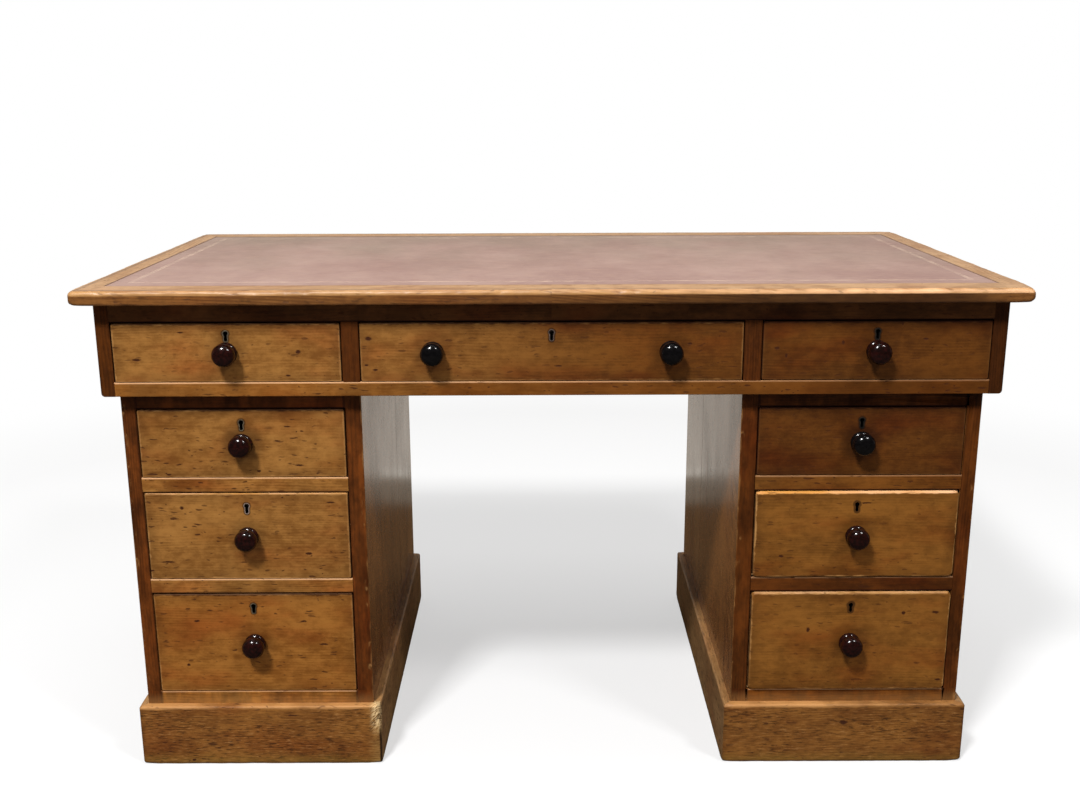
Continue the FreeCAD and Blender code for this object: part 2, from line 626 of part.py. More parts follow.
def save_pedestal_case(name, sign, rails, mortises):
    (x0, _), (x1, _) = pedestal_faces(sign)
    pegs = locating_pegs(sign)
    top_board = tenoned(x0, x1, PEDESTAL_FRONT, RUNNER_Y1, TOP_BOARD, PEDESTAL_HEIGHT)
    top_board = carve(top_board, pegs + mortises)
    bottom_board = tenoned(x0, x1, PEDESTAL_FRONT, RUNNER_Y1, PLINTH_HEIGHT, BOTTOM_FLOOR)
    back_x0 = x0 - BACK_RABBET
    back_width = (x1 - x0 + 2 * BACK_RABBET) / BACK_BOARD_COUNT
    backs = [box(back_x0 + i * back_width, back_x0 + (i + 1) * back_width, RUNNER_Y1, PEDESTAL_REAR,
                 PLINTH_HEIGHT, PEDESTAL_HEIGHT)
             for i in range(BACK_BOARD_COUNT)]
    let_in = [top_board, bottom_board] + rails + backs + pedestal_runner_screws(sign)
    seam = PEDESTAL_FRONT + SIDE_FRONT_BOARD
    sides = []
    for inner, outer in ((sign * OPENING_NEAR, sign * PEDESTAL_NEAR),
                         (sign * OPENING_FAR, sign * PEDESTAL_FAR)):
        for y0, y1, shown in ((PEDESTAL_FRONT, seam, PEDESTAL_FRONT), (seam, PEDESTAL_REAR, PEDESTAL_REAR)):
            board = box(min(inner, outer), max(inner, outer), y0, y1, PLINTH_HEIGHT, PEDESTAL_HEIGHT)
            board = ease(board, CASE_ARRIS, lambda p: at(p.x, outer) and at(p.y, shown))
            sides.append(carve(board, let_in))
    save(name + "_pedestal_case", sides + [top_board, bottom_board] + backs + pegs)


def save_plinth(name, sign):
    middle = sign * PEDESTAL_CENTRE
    half_x = (PEDESTAL_FAR - PEDESTAL_NEAR) / 2 + PLINTH_PROJECTION
    half_y = PEDESTAL_DEPTH / 2 + PLINTH_PROJECTION
    inner_x = half_x - PLINTH_BOARD
    inner_y = half_y - PLINTH_BOARD
    block = box(middle - half_x, middle + half_x, -half_y, half_y, 0, PLINTH_HEIGHT)
    block = ease(block, PLINTH_ARRIS, lambda p: not at(p.z, 0))
    ring = carve(block, [box(middle - inner_x, middle + inner_x, -inner_y, inner_y, 0, PLINTH_HEIGHT)])
    boards = mitred_frame(ring, middle, half_x, half_y, PLINTH_BOARD, PLINTH_BOARD, 0, PLINTH_HEIGHT)
    blocks = [box(min(x, x - sx * CORNER_BLOCK), max(x, x - sx * CORNER_BLOCK),
                  min(y, y - sy * CORNER_BLOCK), max(y, y - sy * CORNER_BLOCK),
                  CORNER_BLOCK_LIFT, PLINTH_HEIGHT)
              for sx, x in ((-1, middle - inner_x), (1, middle + inner_x))
              for sy, y in ((-1, -inner_y), (1, inner_y))]
    save(name + "_plinth", boards + blocks)


def main():
    os.makedirs("parts", exist_ok=True)
    in_frieze = frieze_drawers()
    rails = []
    runners = []
    screws = kicker_screws() + frieze_runner_screws()
    save_top()
    save_frieze(in_frieze)
    for name, sign in (("left", -1), ("right", 1)):
        drawers = pedestal_drawers(name, sign)
        mortises = [bolt_mortise(drawer, drawer.z1 + TOP_GAP) for drawer in drawers]
        own_rails = pedestal_rails(sign, mortises)
        rails += own_rails
        runners += pedestal_runners(sign, drawers)
        screws += pedestal_runner_screws(sign)
        save_pedestal_case(name, sign, own_rails, mortises)
        save_plinth(name, sign)
        for drawer in drawers:
            save_drawer(drawer)
    for drawer in in_frieze:
        save_drawer(drawer)
    save("pedestal_rails", rails)
    save("pedestal_runners", runners)
    save("carcass_screws", screws)


main()
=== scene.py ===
"""Twin-pedestal writing desk in old waxed pine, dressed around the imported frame. Sizes are in metres."""

import math
import random

import bmesh
import bpy
from mathutils import Matrix, Vector, noise


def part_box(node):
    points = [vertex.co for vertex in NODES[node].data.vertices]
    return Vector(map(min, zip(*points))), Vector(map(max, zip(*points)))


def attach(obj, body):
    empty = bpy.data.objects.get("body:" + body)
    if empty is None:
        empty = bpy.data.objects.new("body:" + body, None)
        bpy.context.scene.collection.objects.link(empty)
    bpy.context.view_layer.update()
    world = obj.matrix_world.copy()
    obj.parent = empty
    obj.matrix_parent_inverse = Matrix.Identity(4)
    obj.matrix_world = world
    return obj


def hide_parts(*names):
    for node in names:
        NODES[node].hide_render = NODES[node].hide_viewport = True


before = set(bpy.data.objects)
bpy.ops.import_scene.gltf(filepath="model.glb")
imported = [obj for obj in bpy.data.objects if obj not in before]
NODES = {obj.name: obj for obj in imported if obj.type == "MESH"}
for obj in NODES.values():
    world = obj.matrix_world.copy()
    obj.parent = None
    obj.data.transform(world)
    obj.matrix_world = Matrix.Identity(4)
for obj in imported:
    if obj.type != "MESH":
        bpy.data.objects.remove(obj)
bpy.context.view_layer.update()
MM = 0.001

# The photograph's view: focal length in its pixels, and where its camera stood
PHOTO_WIDTH = 1080
PHOTO_FOCUS = 1201.0
CAMERA_AT = (-0.0171, -2.0311, 1.0265)
CAMERA_PITCH = 0.25264
CAMERA_ROLL = 0.00381
SENSOR_WIDTH = 36.0

# What polished wood mirrors of the floor behind the desk, as (y where it starts, y where it is full, light)
MIRRORED_FLOOR = ((0.2, 0.6, (0.15, 0.085, 0.04)), (0.88, 0.97, (0.30, 0.25, 0.19)),
                  (1.13, 1.17, (1.0, 0.93, 0.82)), (1.20, 1.24, (0.76, 0.69, 0.60)))

# Woods, as (pale, deep) display colours of the early and late growth
HONEY = ((0.62, 0.43, 0.21), (0.445, 0.28, 0.107))
RUSSET = ((0.61, 0.40, 0.17), (0.44, 0.26, 0.077))
TAN = ((0.53, 0.34, 0.13), (0.39, 0.24, 0.075))
BROWN = ((0.435, 0.26, 0.085), (0.315, 0.18, 0.05))
DEEP = ((0.395, 0.23, 0.07), (0.275, 0.145, 0.03))
RUST = ((0.44, 0.24, 0.05), (0.31, 0.15, 0.02))
UMBER = ((0.37, 0.22, 0.095), (0.26, 0.145, 0.06))
STILE = ((0.34, 0.175, 0.045), (0.235, 0.115, 0.025))
LEFT_STILE = ((0.405, 0.205, 0.06), (0.28, 0.14, 0.035))
SIDE = ((0.57, 0.37, 0.185), (0.40, 0.235, 0.105))
PLINTH = ((0.56, 0.365, 0.155), (0.42, 0.25, 0.09))
PLINTH_SIDE = ((0.66, 0.50, 0.32), (0.47, 0.335, 0.185))
BORDER = ((0.68, 0.52, 0.35), (0.55, 0.385, 0.22))
BORDER_FACE = ((0.51, 0.33, 0.15), (0.39, 0.235, 0.095))
INNER = ((0.72, 0.58, 0.40), (0.60, 0.44, 0.27))
# Stains and rubbed places on the wood, and colours that paint light and shade on it
FLECK = (0.24, 0.115, 0.042)
WORN = (0.74, 0.55, 0.33)
# Dirt, which is also painted shade along the edges of fronts and the tops of stiles
DIRT_AND_SHADE = (0.13, 0.07, 0.03)
# Painted shade in the gaps between parts
GAP_SHADE = (0.14, 0.042, 0.032)
# Painted shade inside keyholes
KEYHOLE_SHADE = (0.012, 0.009, 0.007)
OLIVE = (0.49, 0.39, 0.16)
AMBER = (0.60, 0.34, 0.11)
# The next two are painted highlights on upper arrises, laid with wear
HIGHLIGHT_AND_WEAR = (0.90, 0.70, 0.52)
GOLDEN = (0.80, 0.55, 0.26)
LEDGE = (0.80, 0.58, 0.35)
KHAKI = (0.62, 0.52, 0.31)
SPLINTER = (0.90, 0.78, 0.58)
# The leather's tones, and the gilt on it
MAUVE = (0.60, 0.485, 0.445)
PLUM = (0.525, 0.405, 0.375)
GREYED = (0.47, 0.40, 0.345)
DUSTY = (0.62, 0.50, 0.43)
FADED = (0.66, 0.53, 0.46)
WINE = (0.40, 0.27, 0.25)
EDGE_STAIN = (0.38, 0.22, 0.17)
GILT = (0.86, 0.76, 0.66)

# Drawers: the wood at each end of the front, how far its edges are rubbed pale, and the larger bruises and
# knots on it, as (x, z, length, height) in millimetres from the middle of the front
DRAWERS = {
    "frieze_left_drawer": (HONEY, HONEY, 0.35, [
        (-131, -10, 7, 2), (103, 1, 4, 3), (87, -34, 4, 1.5), (-65, 30, 5, 1.2)]),
    "frieze_centre_drawer": (HONEY, BROWN, 0.2, [
        (-264, 20, 5, 3.2), (-268, -19, 3, 1.6), (-255, -26, 4, 1.5), (10, -21, 6, 1.2), (199, 11, 4, 1.8)]),
    "frieze_right_drawer": (BROWN, DEEP, 0.05, [
        (-144, 4, 4, 2.5), (-130, -7, 2, 3.5), (-49, 12, 2, 3.0), (70, 17, 4.5, 1.6), (35, 39, 1.5, 2.0)]),
    "left_top_drawer": (HONEY, HONEY, 0.3, [
        (-113, -48, 4, 1.6), (68, 26, 5, 1.2), (52, 4, 5, 1.2), (83, -34, 7, 1.5), (22, -43, 3, 2.0)]),
    "left_middle_drawer": (HONEY, HONEY, 0.5, [
        (-98, 46, 3.5, 3.2), (127, 54, 7, 1.6), (90, -28, 6, 2.2), (-126, -41, 11, 1.5),
        (-151, -55, 4, 1.6)]),
    "left_bottom_drawer": (RUSSET, RUSSET, 0.3, [
        (-89, 37, 5, 2.0), (76, 36, 6, 1.6), (106, -3, 7, 1.8), (-107, -37, 3, 2.4)]),
    "right_top_drawer": (DEEP, DEEP, 0.04, []),
    "right_middle_drawer": (TAN, TAN, 0.6, [(-111, -34, 4, 2.2), (14, 51, 9, 1.2)]),
    "right_bottom_drawer": (TAN, TAN, 0.5, [
        (-64, 20, 3, 4.0), (82, 48, 3.2, 3.2), (131, 49, 6, 2.4), (143, -65, 5, 2.0)]),
}
# Knots, holes and cracks on the plinths' fronts, as (x from the plinth's middle, z, length, height) in
# millimetres
PLINTH_MARKS = {"left": [(-109, 7, 3.5, 2.2), (52, 84, 9, 1.0)],
                "right": [(0, 69, 7, 4.0), (186, 91, 5, 1.2), (-120, 40, 6, 1.0)]}
# Tooled lines, as how far each is in from the leather's sides and from its front and back
TOOL_LINES = ((25 * MM, 31 * MM), (29 * MM, 35 * MM))
# A knob's outline is a tenon and these arcs, in millimetres and degrees, as (distance of the centre out from
# the drawer's face, its distance from the axis, the arc's size along the axis and across it, the angles from
# the axis where it starts and ends)
KNOB_TENON = (9.0 * MM, 6.3 * MM)
KNOB_ARCS = {"collar": (4.6, 11.6, 4.9, 4.9, 160, 12), "bun back": (19.3, 11.8, 8.6, 5.2, 176, 95),
             "bun rim": (19.3, 6.82, 10.18, 10.18, 90, 25), "bun face": (3.3, 0.0, 27.6, 27.6, 23, 1.5)}
KNOB_ARC_STEPS = 10
KNOB_SIDES = 48
# Keyholes: the head's and the slot's width, the slot's length, the head's height over the lock's foot, and
# how far in the lock's throat is painted black as shade
KEY_HEAD = 5.6 * MM
KEY_SLOT = 3.2 * MM
KEY_SLOT_LENGTH = 9.5 * MM
KEY_ABOVE_LOCK = 16.1 * MM
KEY_DEPTH = 8 * MM
# The locks' brass, as (bright, dull), where it isn't merely dull
DULL_BRASS = ((0.46, 0.41, 0.33), (0.31, 0.26, 0.19))
BLACK_BRASS = ((0.20, 0.16, 0.12), (0.10, 0.08, 0.06))
LOCK_BRASS = {"left_middle_drawer": ((0.66, 0.58, 0.53), (0.50, 0.42, 0.37)),
              "frieze_centre_drawer": ((0.46, 0.39, 0.36), (0.33, 0.26, 0.22)),
              "frieze_right_drawer": BLACK_BRASS, "right_top_drawer": BLACK_BRASS}
# The frieze ends' lower edges: their rounding as made, and how many times as wide wear has left it
END_ROUND = 2.0 * MM
END_WEAR = 3.0
# The left plinth's splintered corner, between these heights
BROKEN_HEIGHT = 78 * MM
BROKEN_FOOT = 46 * MM
FRONT_ARRIS = 1.6 * MM
WORN_ARRIS = 3.8 * MM
WORN_FRONTS = ("right_middle_drawer", "right_bottom_drawer")
# Pale crests along the upper edges of fronts, painted highlight with wear, as (where it starts from the edge,
# how strong it is)
CRESTS = {"left_middle_drawer": (0.4 * MM, 0.6), "right_middle_drawer": (-1.4 * MM, 1.0),
          "right_bottom_drawer": (0.6 * MM, 0.4)}
# Growth rings, from one to the next
RING_WIDTH = 4.2 * MM
# Where the two boards of a pedestal's side meet, from its front edge
CASE_SEAM = 403 * MM
# Heights between the pedestals' rails, and over them
RAIL_LEVELS = (0.35, 0.5)
# Boards inside the desk differ to its left and right, and above and below these heights
INNER_BOARDS = (("X", 0.0), ("Z", 0.3), ("Z", 0.45), ("Z", 0.6))
# Plinths: their boards' thickness, and the corner blocks' width and height over the floor
PLINTH_BOARD = 20 * MM
PLINTH_BLOCK = 32 * MM
BLOCK_LIFT = 15 * MM


def linear(colour):
    """A display colour as linear light."""
    return tuple(c / 12.92 if c <= 0.04045 else ((c + 0.055) / 1.055) ** 2.4 for c in colour)


def wood(pair):
    return [linear(c) for c in pair]


def wobble(point, size, seed=0):
    """Smooth noise from about -1 to 1, with features about size across."""
    return noise.noise(Vector(point) / size + Vector((17.3, -5.1, 9.7)) * seed)


class Field:
    """A number that differs from place to place. What is worked out from fields is a field too."""

    def __init__(self, graph, socket):
        self.graph = graph
        self.socket = socket

    def __add__(self, other):
        return self.graph.math("ADD", self, other)

    def __sub__(self, other):
        return self.graph.math("SUBTRACT", self, other)

    def __rsub__(self, other):
        return self.graph.math("SUBTRACT", other, self)

    def __mul__(self, other):
        return self.graph.math("MULTIPLY", self, other)

    def __truediv__(self, other):
        return self.graph.math("DIVIDE", self, other)

    def __gt__(self, level):
        return self.graph.math("GREATER_THAN", self, level)

    def __lt__(self, level):
        return self.graph.math("LESS_THAN", self, level)

    def __abs__(self):
        return self.graph.math("ABSOLUTE", self)

    def between(self, low, high):
        return (self > low) * (self < high)

    def step(self, low, high):
        """0 at low, 1 at high and smooth between. low may be the larger."""
        flip = high < low
        limits = [min(low, high), max(low, high), float(flip), float(not flip)]
        node = self.graph.add("MapRange", [self, *limits], interpolation_type="SMOOTHSTEP")
        return Field(self.graph, node.outputs[0])


class Graph:
    """The nodes that work out a look."""

    def __init__(self, tree):
        self.nodes = tree.nodes
        self.links = tree.links
        self.nodes.clear()

    def put(self, socket, value):
        if isinstance(value, Field):
            value = value.socket
        if isinstance(value, bpy.types.NodeSocket):
            self.links.new(value, socket)
        elif isinstance(value, (tuple, list)) and socket.type == "RGBA":
            socket.default_value = (*value, 1.0)
        else:
            socket.default_value = value

    def add(self, kind, values=(), **settings):
        """A node with its settings, and values on its sockets in order."""
        node = self.nodes.new("ShaderNode" + kind)
        for name, value in settings.items():
            setattr(node, name, value)
        for socket, value in zip(node.inputs, values):
            self.put(socket, value)
        return node

    def math(self, operation, *values):
        return Field(self, self.add("Math", values, operation=operation).outputs[0])

    def most(self, first, *others):
        for other in others:
            first = self.math("MAXIMUM", first, other)
        return first

    def least(self, first, *others):
        for other in others:
            first = self.math("MINIMUM", first, other)
        return first

    def vector(self, operation, *values):
        return self.add("VectorMath", values, operation=operation).outputs[0]

    def split(self, vector):
        return {c: Field(self, part) for c, part in zip("XYZ", self.add("SeparateXYZ", [vector]).outputs)}

    def joined(self, x, y, z):
        return self.add("CombineXYZ", [x, y, z]).outputs[0]

    def length(self, across, up):
        """How far it is to a point that lies some way across and some way up."""
        node = self.add("VectorMath", [self.joined(across, up, 0.0)], operation="LENGTH")
        return Field(self, node.outputs["Value"])

    def mix(self, amount, a, b, kind="MIX"):
        node = self.add("Mix", data_type="RGBA", blend_type=kind)
        self.put(node.inputs[0], amount)
        self.put(node.inputs[6], a)
        self.put(node.inputs[7], b)
        return node.outputs[2]


class Paint(Graph):
    """A material whose look is worked out from the place on the object."""

    def __init__(self, name):
        self.material = bpy.data.materials.new(name)
        self.material.use_nodes = True
        super().__init__(self.material.node_tree)
        self.shader = self.add("BsdfPrincipled")
        self.output = self.add("OutputMaterial", [self.shader.outputs["BSDF"]])
        self.position = self.add("TexCoord").outputs["Object"]
        self.axes = self.split(self.position)
        self.x, self.y, self.z = self.axes.values()

    def set(self, **values):
        """Puts values on the surface's own sockets, such as Base_Color."""
        for name, value in values.items():
            self.put(self.shader.inputs[name.replace("_", " ")], value)

    def bump(self, height, depth):
        node = self.add("Bump")
        node.inputs["Distance"].default_value = depth
        self.put(node.inputs["Height"], height)
        return node.outputs[0]

    def figure(self, kind, factors, place, **values):
        """A pattern whose features measure about one over each factor. place is the object's own if None."""
        node = self.add(kind)
        scaled = self.vector("MULTIPLY", self.position if place is None else place, factors)
        for name, value in dict(values, Vector=scaled, Scale=1.0).items():
            self.put(node.inputs[name], value)
        return node.outputs

    def noise(self, factors, place=None, detail=2.0, roughness=0.5):
        return Field(self, self.figure("TexNoise", factors, place, Detail=detail, Roughness=roughness)["Fac"])

    def cells(self, factors, place=None):
        """(distance to the nearest of some scattered points, a random number for that point)"""
        outputs = self.figure("TexVoronoi", factors, place)
        chance = self.add("SeparateColor", [outputs["Color"]]).outputs[0]
        return Field(self, outputs["Distance"]), Field(self, chance)

    def edge_gap(self, low, high, letters):
        """How far a point is from the nearest of a box's faces, along some axes."""
        gap = 1.0
        for letter in letters:
            i = "XYZ".index(letter)
            gap = self.least(gap, self.axes[letter] - low[i], high[i] - self.axes[letter])
        return gap


class Pine(Paint):
    """Flat-sawn pine: growth rings about a pith behind the face, fibres, short dark flecks, and wax."""

    def lay(self, letters, regions=(), boards=()):
        """Sets how the grain lies. letters are the axes along it, across it and into the board; regions
        are (mask, letters) that lie another way; boards are numbers that differ from board to board."""
        grain = self.joined(*[self.axes[c] for c in letters])
        for mask, other in regions:
            node = self.add("Mix", data_type="VECTOR")
            self.put(node.inputs[0], mask)
            self.put(node.inputs[4], grain)
            self.put(node.inputs[5], self.joined(*[self.axes[c] for c in other]))
            grain = node.outputs[1]
        seed = 0.37
        for i, board in enumerate(boards):
            seed = self.math("MULTIPLY_ADD", board, 7.31 + 3.17 * i, seed)
        random_place = self.add("TexWhiteNoise", noise_dimensions="1D")
        self.put(random_place.inputs["W"], seed)
        shift = self.vector("MULTIPLY", random_place.outputs["Color"], (9.0, 0.31, 0.27))
        self.grain = self.vector("ADD", grain, shift)

    def blend(self, amount, one, other):
        """The pale and the deep colour of a wood that goes over into another."""
        return [self.mix(amount, a, b) for a, b in zip(one, other)]

    def tint(self, pale, deep, rings=0.5, flecks=0.6, hue=0.3, streak=1.0):
        """Works out the bare wood's colour from its figure."""
        grain = self.grain
        place = self.split(grain)
        across = self.noise((1.6, 7.0, 7.0), grain, detail=3.0) * 0.045 + place["Y"]
        depth = self.noise((0.9, 0.6, 0.6), grain) * 0.16 + place["Z"]
        radius = self.math("SQRT", across * across + depth * depth)
        phase = self.math("FRACT", radius * (1 / RING_WIDTH))
        ring = phase.step(0.25, 0.85) * phase.step(1.0, 0.88)
        self.late = ring * self.noise((5.0, 40.0, 40.0), grain, detail=3.0).step(0.36, 0.66)
        self.fibres = self.noise((45.0, 420.0, 420.0), grain)
        self.blotches = self.noise((6.0, 12.0, 12.0), grain, detail=3.0, roughness=0.55)
        streaks = self.noise((8.0, 200.0, 200.0), grain, detail=4.0, roughness=0.62)
        mottle = self.noise((52.0, 80.0, 80.0), grain, detail=5.0, roughness=0.68)
        amount = self.late * (0.6 * rings) + (0.2 - 0.26 * streak)
        for figure, low, high, weight in ((streaks, 0.3, 0.7, 0.24 * streak), (self.blotches, 0.3, 0.7, 0.32),
                                          (mottle, 0.3, 0.7, 0.38), (self.fibres, 0.25, 0.75, 0.28 * streak)):
            amount = figure.step(low, high) * weight + amount
        self.colour = self.mix(amount.step(0.2, 1.05), pale, deep)
        for factors, toned in (((9.0, 21.0, 21.0), OLIVE), ((7.0, 17.0, 17.0), AMBER)):
            patch = self.noise(factors, self.vector("ADD", grain, toned), detail=4.0).step(0.45, 0.75)
            toned_wood = self.mix(1.0, self.colour, linear([1.45 * c for c in toned]), kind="MULTIPLY")
            brighter = self.mix(0.55, self.colour, toned_wood)
            self.colour = self.mix(patch * hue, self.colour, brighter)
        self.dark = self.fleck_mask() * flecks

    def fleck_mask(self):
        """Short ragged dashes and pits along the grain, gathered in some places and faint in others."""
        rise = self.noise((32.0, 50.0, 50.0), self.grain)
        rag = self.joined(self.noise((60.0, 160.0, 160.0), self.grain), rise, rise)
        ragged = self.vector("ADD", self.grain, self.vector("MULTIPLY", rag, (0.016, 0.016, 0.016)))
        gathered = self.noise((6.0, 14.0, 14.0), self.grain).step(0.24, 0.56)
        mask = 0.0
        for factors, rare, size in (((58.0, 250.0, 250.0), 0.60, 0.37), ((28.0, 170.0, 170.0), 0.80, 0.29),
                                    ((170.0, 260.0, 260.0), 0.84, 0.30)):
            distance, chance = self.cells(factors, ragged)
            strong = chance.step(rare, 1.0)
            mark = (strong * size - distance).step(-0.05, 0.12)
            mask = self.most(mask, mark * (strong * 0.7 + 0.3))
        return mask * gathered

    def bruise(self, x, z, length, height):
        """One dark mark on a front, with a ragged outline."""
        along = (self.x - x) / length
        up = (self.z - z) / height
        far = self.math("SQRT", along * along + up * up)
        far = self.noise((300.0, 300.0, 500.0)) * 0.9 + far
        self.dark = self.most(self.dark, far.step(1.65, 1.0))

    def cover(self, colour, amount):
        """Lays a stain or a rubbed place over the wood, from none at 0 to all of it at 1."""
        self.colour = self.mix(amount, self.colour, linear(colour))

    def vary(self, factors, dark, light):
        """Makes the wood darker and lighter in patches that measure about one over each factor."""
        patch = self.noise(factors, detail=4.0, roughness=0.6).step(0.3, 0.7)
        shade = patch * (light - dark) + dark
        self.colour = self.mix(1.0, self.colour, self.joined(shade, shade, shade), kind="MULTIPLY")

    def wax(self, roughness=0.45, specular=0.2):
        """Closes the surface: flecks, fine relief and an uneven polish."""
        self.cover(FLECK, self.dark)
        height = self.fibres * 0.35 + self.late * 0.4 - self.dark * 1.5
        dull = self.dark * 0.25 + (self.blotches * 0.22 + (roughness - 0.11))
        self.set(Base_Color=self.colour, Roughness=dull, Specular_IOR_Level=specular,
                 Normal=self.bump(height, 0.15 * MM))
        return self.material


def knob_node(drawer):
    return drawer + ("_knobs" if drawer == "frieze_centre_drawer" else "_knob")


def knob_places(drawer):
    """Where a drawer's knobs are along it."""
    low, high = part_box(knob_node(drawer))
    radius = (high.z - low.z) / 2
    return sorted({round(low.x + radius, 4), round(high.x - radius, 4)})


def keyhole_gap(paint, drawer):
    """How far a point of a drawer's front is outside its keyhole: a round head over a slot."""
    low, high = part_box(drawer + "_lock")
    across = abs(paint.x - (low.x + high.x) / 2)
    above = paint.z - (low.z + KEY_ABOVE_LOCK)
    past = paint.most(0.0, above, above * -1.0 - KEY_SLOT_LENGTH)
    return paint.least(paint.length(across, above) - KEY_HEAD / 2, paint.length(across, past) - KEY_SLOT / 2)


def front_pine(drawer, number):
    """A drawer's front: darker round its edges with dirt and painted shade, soiled round its knobs and
    keyhole, and rubbed pale in places at its rim. Its gaps and keyhole walls have painted shade, and some
    have a painted highlight along the upper edge.
    """
    first, last, rubbed, marks = DRAWERS[drawer]
    low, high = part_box(drawer + "_front")
    middle = (low + high) / 2
    paint = Pine(drawer + "_pine")
    paint.lay("XZY", boards=[number + 1.0])
    along = paint.x.step(low.x * 1.2 - high.x * 0.2, low.x * 0.2 + high.x * 0.8)
    flecked = 0.9 if first in (HONEY, RUSSET) and "frieze" not in drawer else 0.55
    paint.tint(*paint.blend(along, wood(first), wood(last)), rings=0.25, flecks=flecked, hue=0.8, streak=0.4)
    for x, z, length, height in marks:
        paint.bruise(middle.x + x * MM, middle.z + z * MM, length * MM, height * MM)
    gap = paint.edge_gap(low, high, "XZ")
    rag = paint.noise((90.0, 90.0, 140.0)) * (5 * MM)
    # Darker within 24 mm of the edges: dirt, and painted shade from the rails and frame round the front
    paint.cover(DIRT_AND_SHADE, gap.step(24 * MM, 0.0) * 0.25)
    for x in knob_places(drawer):
        away = paint.length(paint.x - x, paint.z - middle.z)
        paint.cover(DIRT_AND_SHADE, (away - rag).step(36 * MM, 14 * MM) * 0.3)
    patchy = paint.noise((24.0, 24.0, 24.0), detail=3.0).step(0.38, 0.6)
    patchy = patchy * (0.9 * rubbed) + 0.3 * rubbed
    paint.cover(WORN, (gap + rag).step(6.2 * MM, 4.0 * MM) * patchy)
    # A painted highlight along the upper arris, laid with wear
    if drawer in CRESTS:
        start, strength = CRESTS[drawer]
        crest = (paint.z + rag).step(high.z + start, high.z + start + 2 * MM)
        gilded = paint.noise((9.0, 9.0, 9.0), detail=3.0).step(0.35, 0.65)
        bright = paint.mix(gilded, linear(GOLDEN), linear(HIGHLIGHT_AND_WEAR))
        paint.colour = paint.mix(crest * strength, paint.colour, bright)
    else:
        # Painted shade along the upper edge, in the gap under the rail
        paint.cover(GAP_SHADE, (paint.z + rag).step(high.z - 1.2 * MM, high.z + 1.2 * MM) * 0.75)
    # Painted shade along the sides and foot, in the gaps
    rim = paint.least(paint.edge_gap(low, high, "X"), paint.z - low.z)
    paint.cover(GAP_SHADE, rim.step(1.5 * MM, 0.6 * MM) * 0.75)
    hole = keyhole_gap(paint, drawer)
    paint.cover(DIRT_AND_SHADE, (hole - rag * 0.4).step(3.8 * MM, 1.6 * MM) * 0.7)
    # Painted shade on the keyhole's walls
    paint.cover(KEYHOLE_SHADE, hole.step(0.7 * MM, 0.3 * MM))
    return paint.wax(0.5, 0.12)


def border_pine(name, letters):
    """The top's border: pale where it is handled, browner down its outer face, and rubbed along the arris,
    where a painted highlight is laid too, stronger to the right.
    """
    low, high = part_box("top_border")
    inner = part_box("leather_inset")[1]
    paint = Pine(name)
    paint.lay(letters, boards=[paint.x > 0.0, paint.y > 0.0])
    face = paint.z.step(high.z - 5 * MM, high.z - 8 * MM)
    paint.tint(*paint.blend(face, wood(BORDER), wood(BORDER_FACE)), rings=0.8, flecks=0.5)
    seam = paint.most(abs(paint.x) - inner.x, abs(paint.y) - inner.y)
    paint.cover(DIRT_AND_SHADE, seam.step(2.4 * MM, 0.6 * MM) * 0.5)
    shaded = paint.x.step(-0.2, 0.4) * paint.x.step(0.68, 0.56)
    paint.cover(DIRT_AND_SHADE, shaded * face * 0.72)
    spots = paint.noise((45.0, 45.0, 90.0), detail=4.0).step(0.56, 0.74)
    paint.cover(DIRT_AND_SHADE, spots * (face * 0.4 + 0.1))
    rag = paint.noise((30.0, 30.0, 60.0), detail=4.0) * (14 * MM)
    edge = paint.edge_gap(low, high, "XY")
    worn = (edge + rag).step(13 * MM, 5 * MM) * face.step(1.0, 0.3)
    rightward = paint.x.step(0.0, 0.5)
    paint.cover(WORN, worn * 0.6)
    # A painted highlight along the arris, stronger to the right
    paint.cover(HIGHLIGHT_AND_WEAR, worn * (rightward * 0.78))
    rim = rag * 0.25 + abs(edge - 10 * MM)
    paint.cover(DIRT_AND_SHADE, rim.step(6 * MM, 3 * MM) * (rightward * -0.3 + 0.42))
    return paint.wax(0.4, 0.35)


def tool_gap(paint, side, end):
    """How far a point on the leather is from a line tooled round it, at some way in from its edges."""
    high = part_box("leather_inset")[1]
    return abs(paint.most(abs(paint.x) - (high.x - side), abs(paint.y) - (high.y - end)))


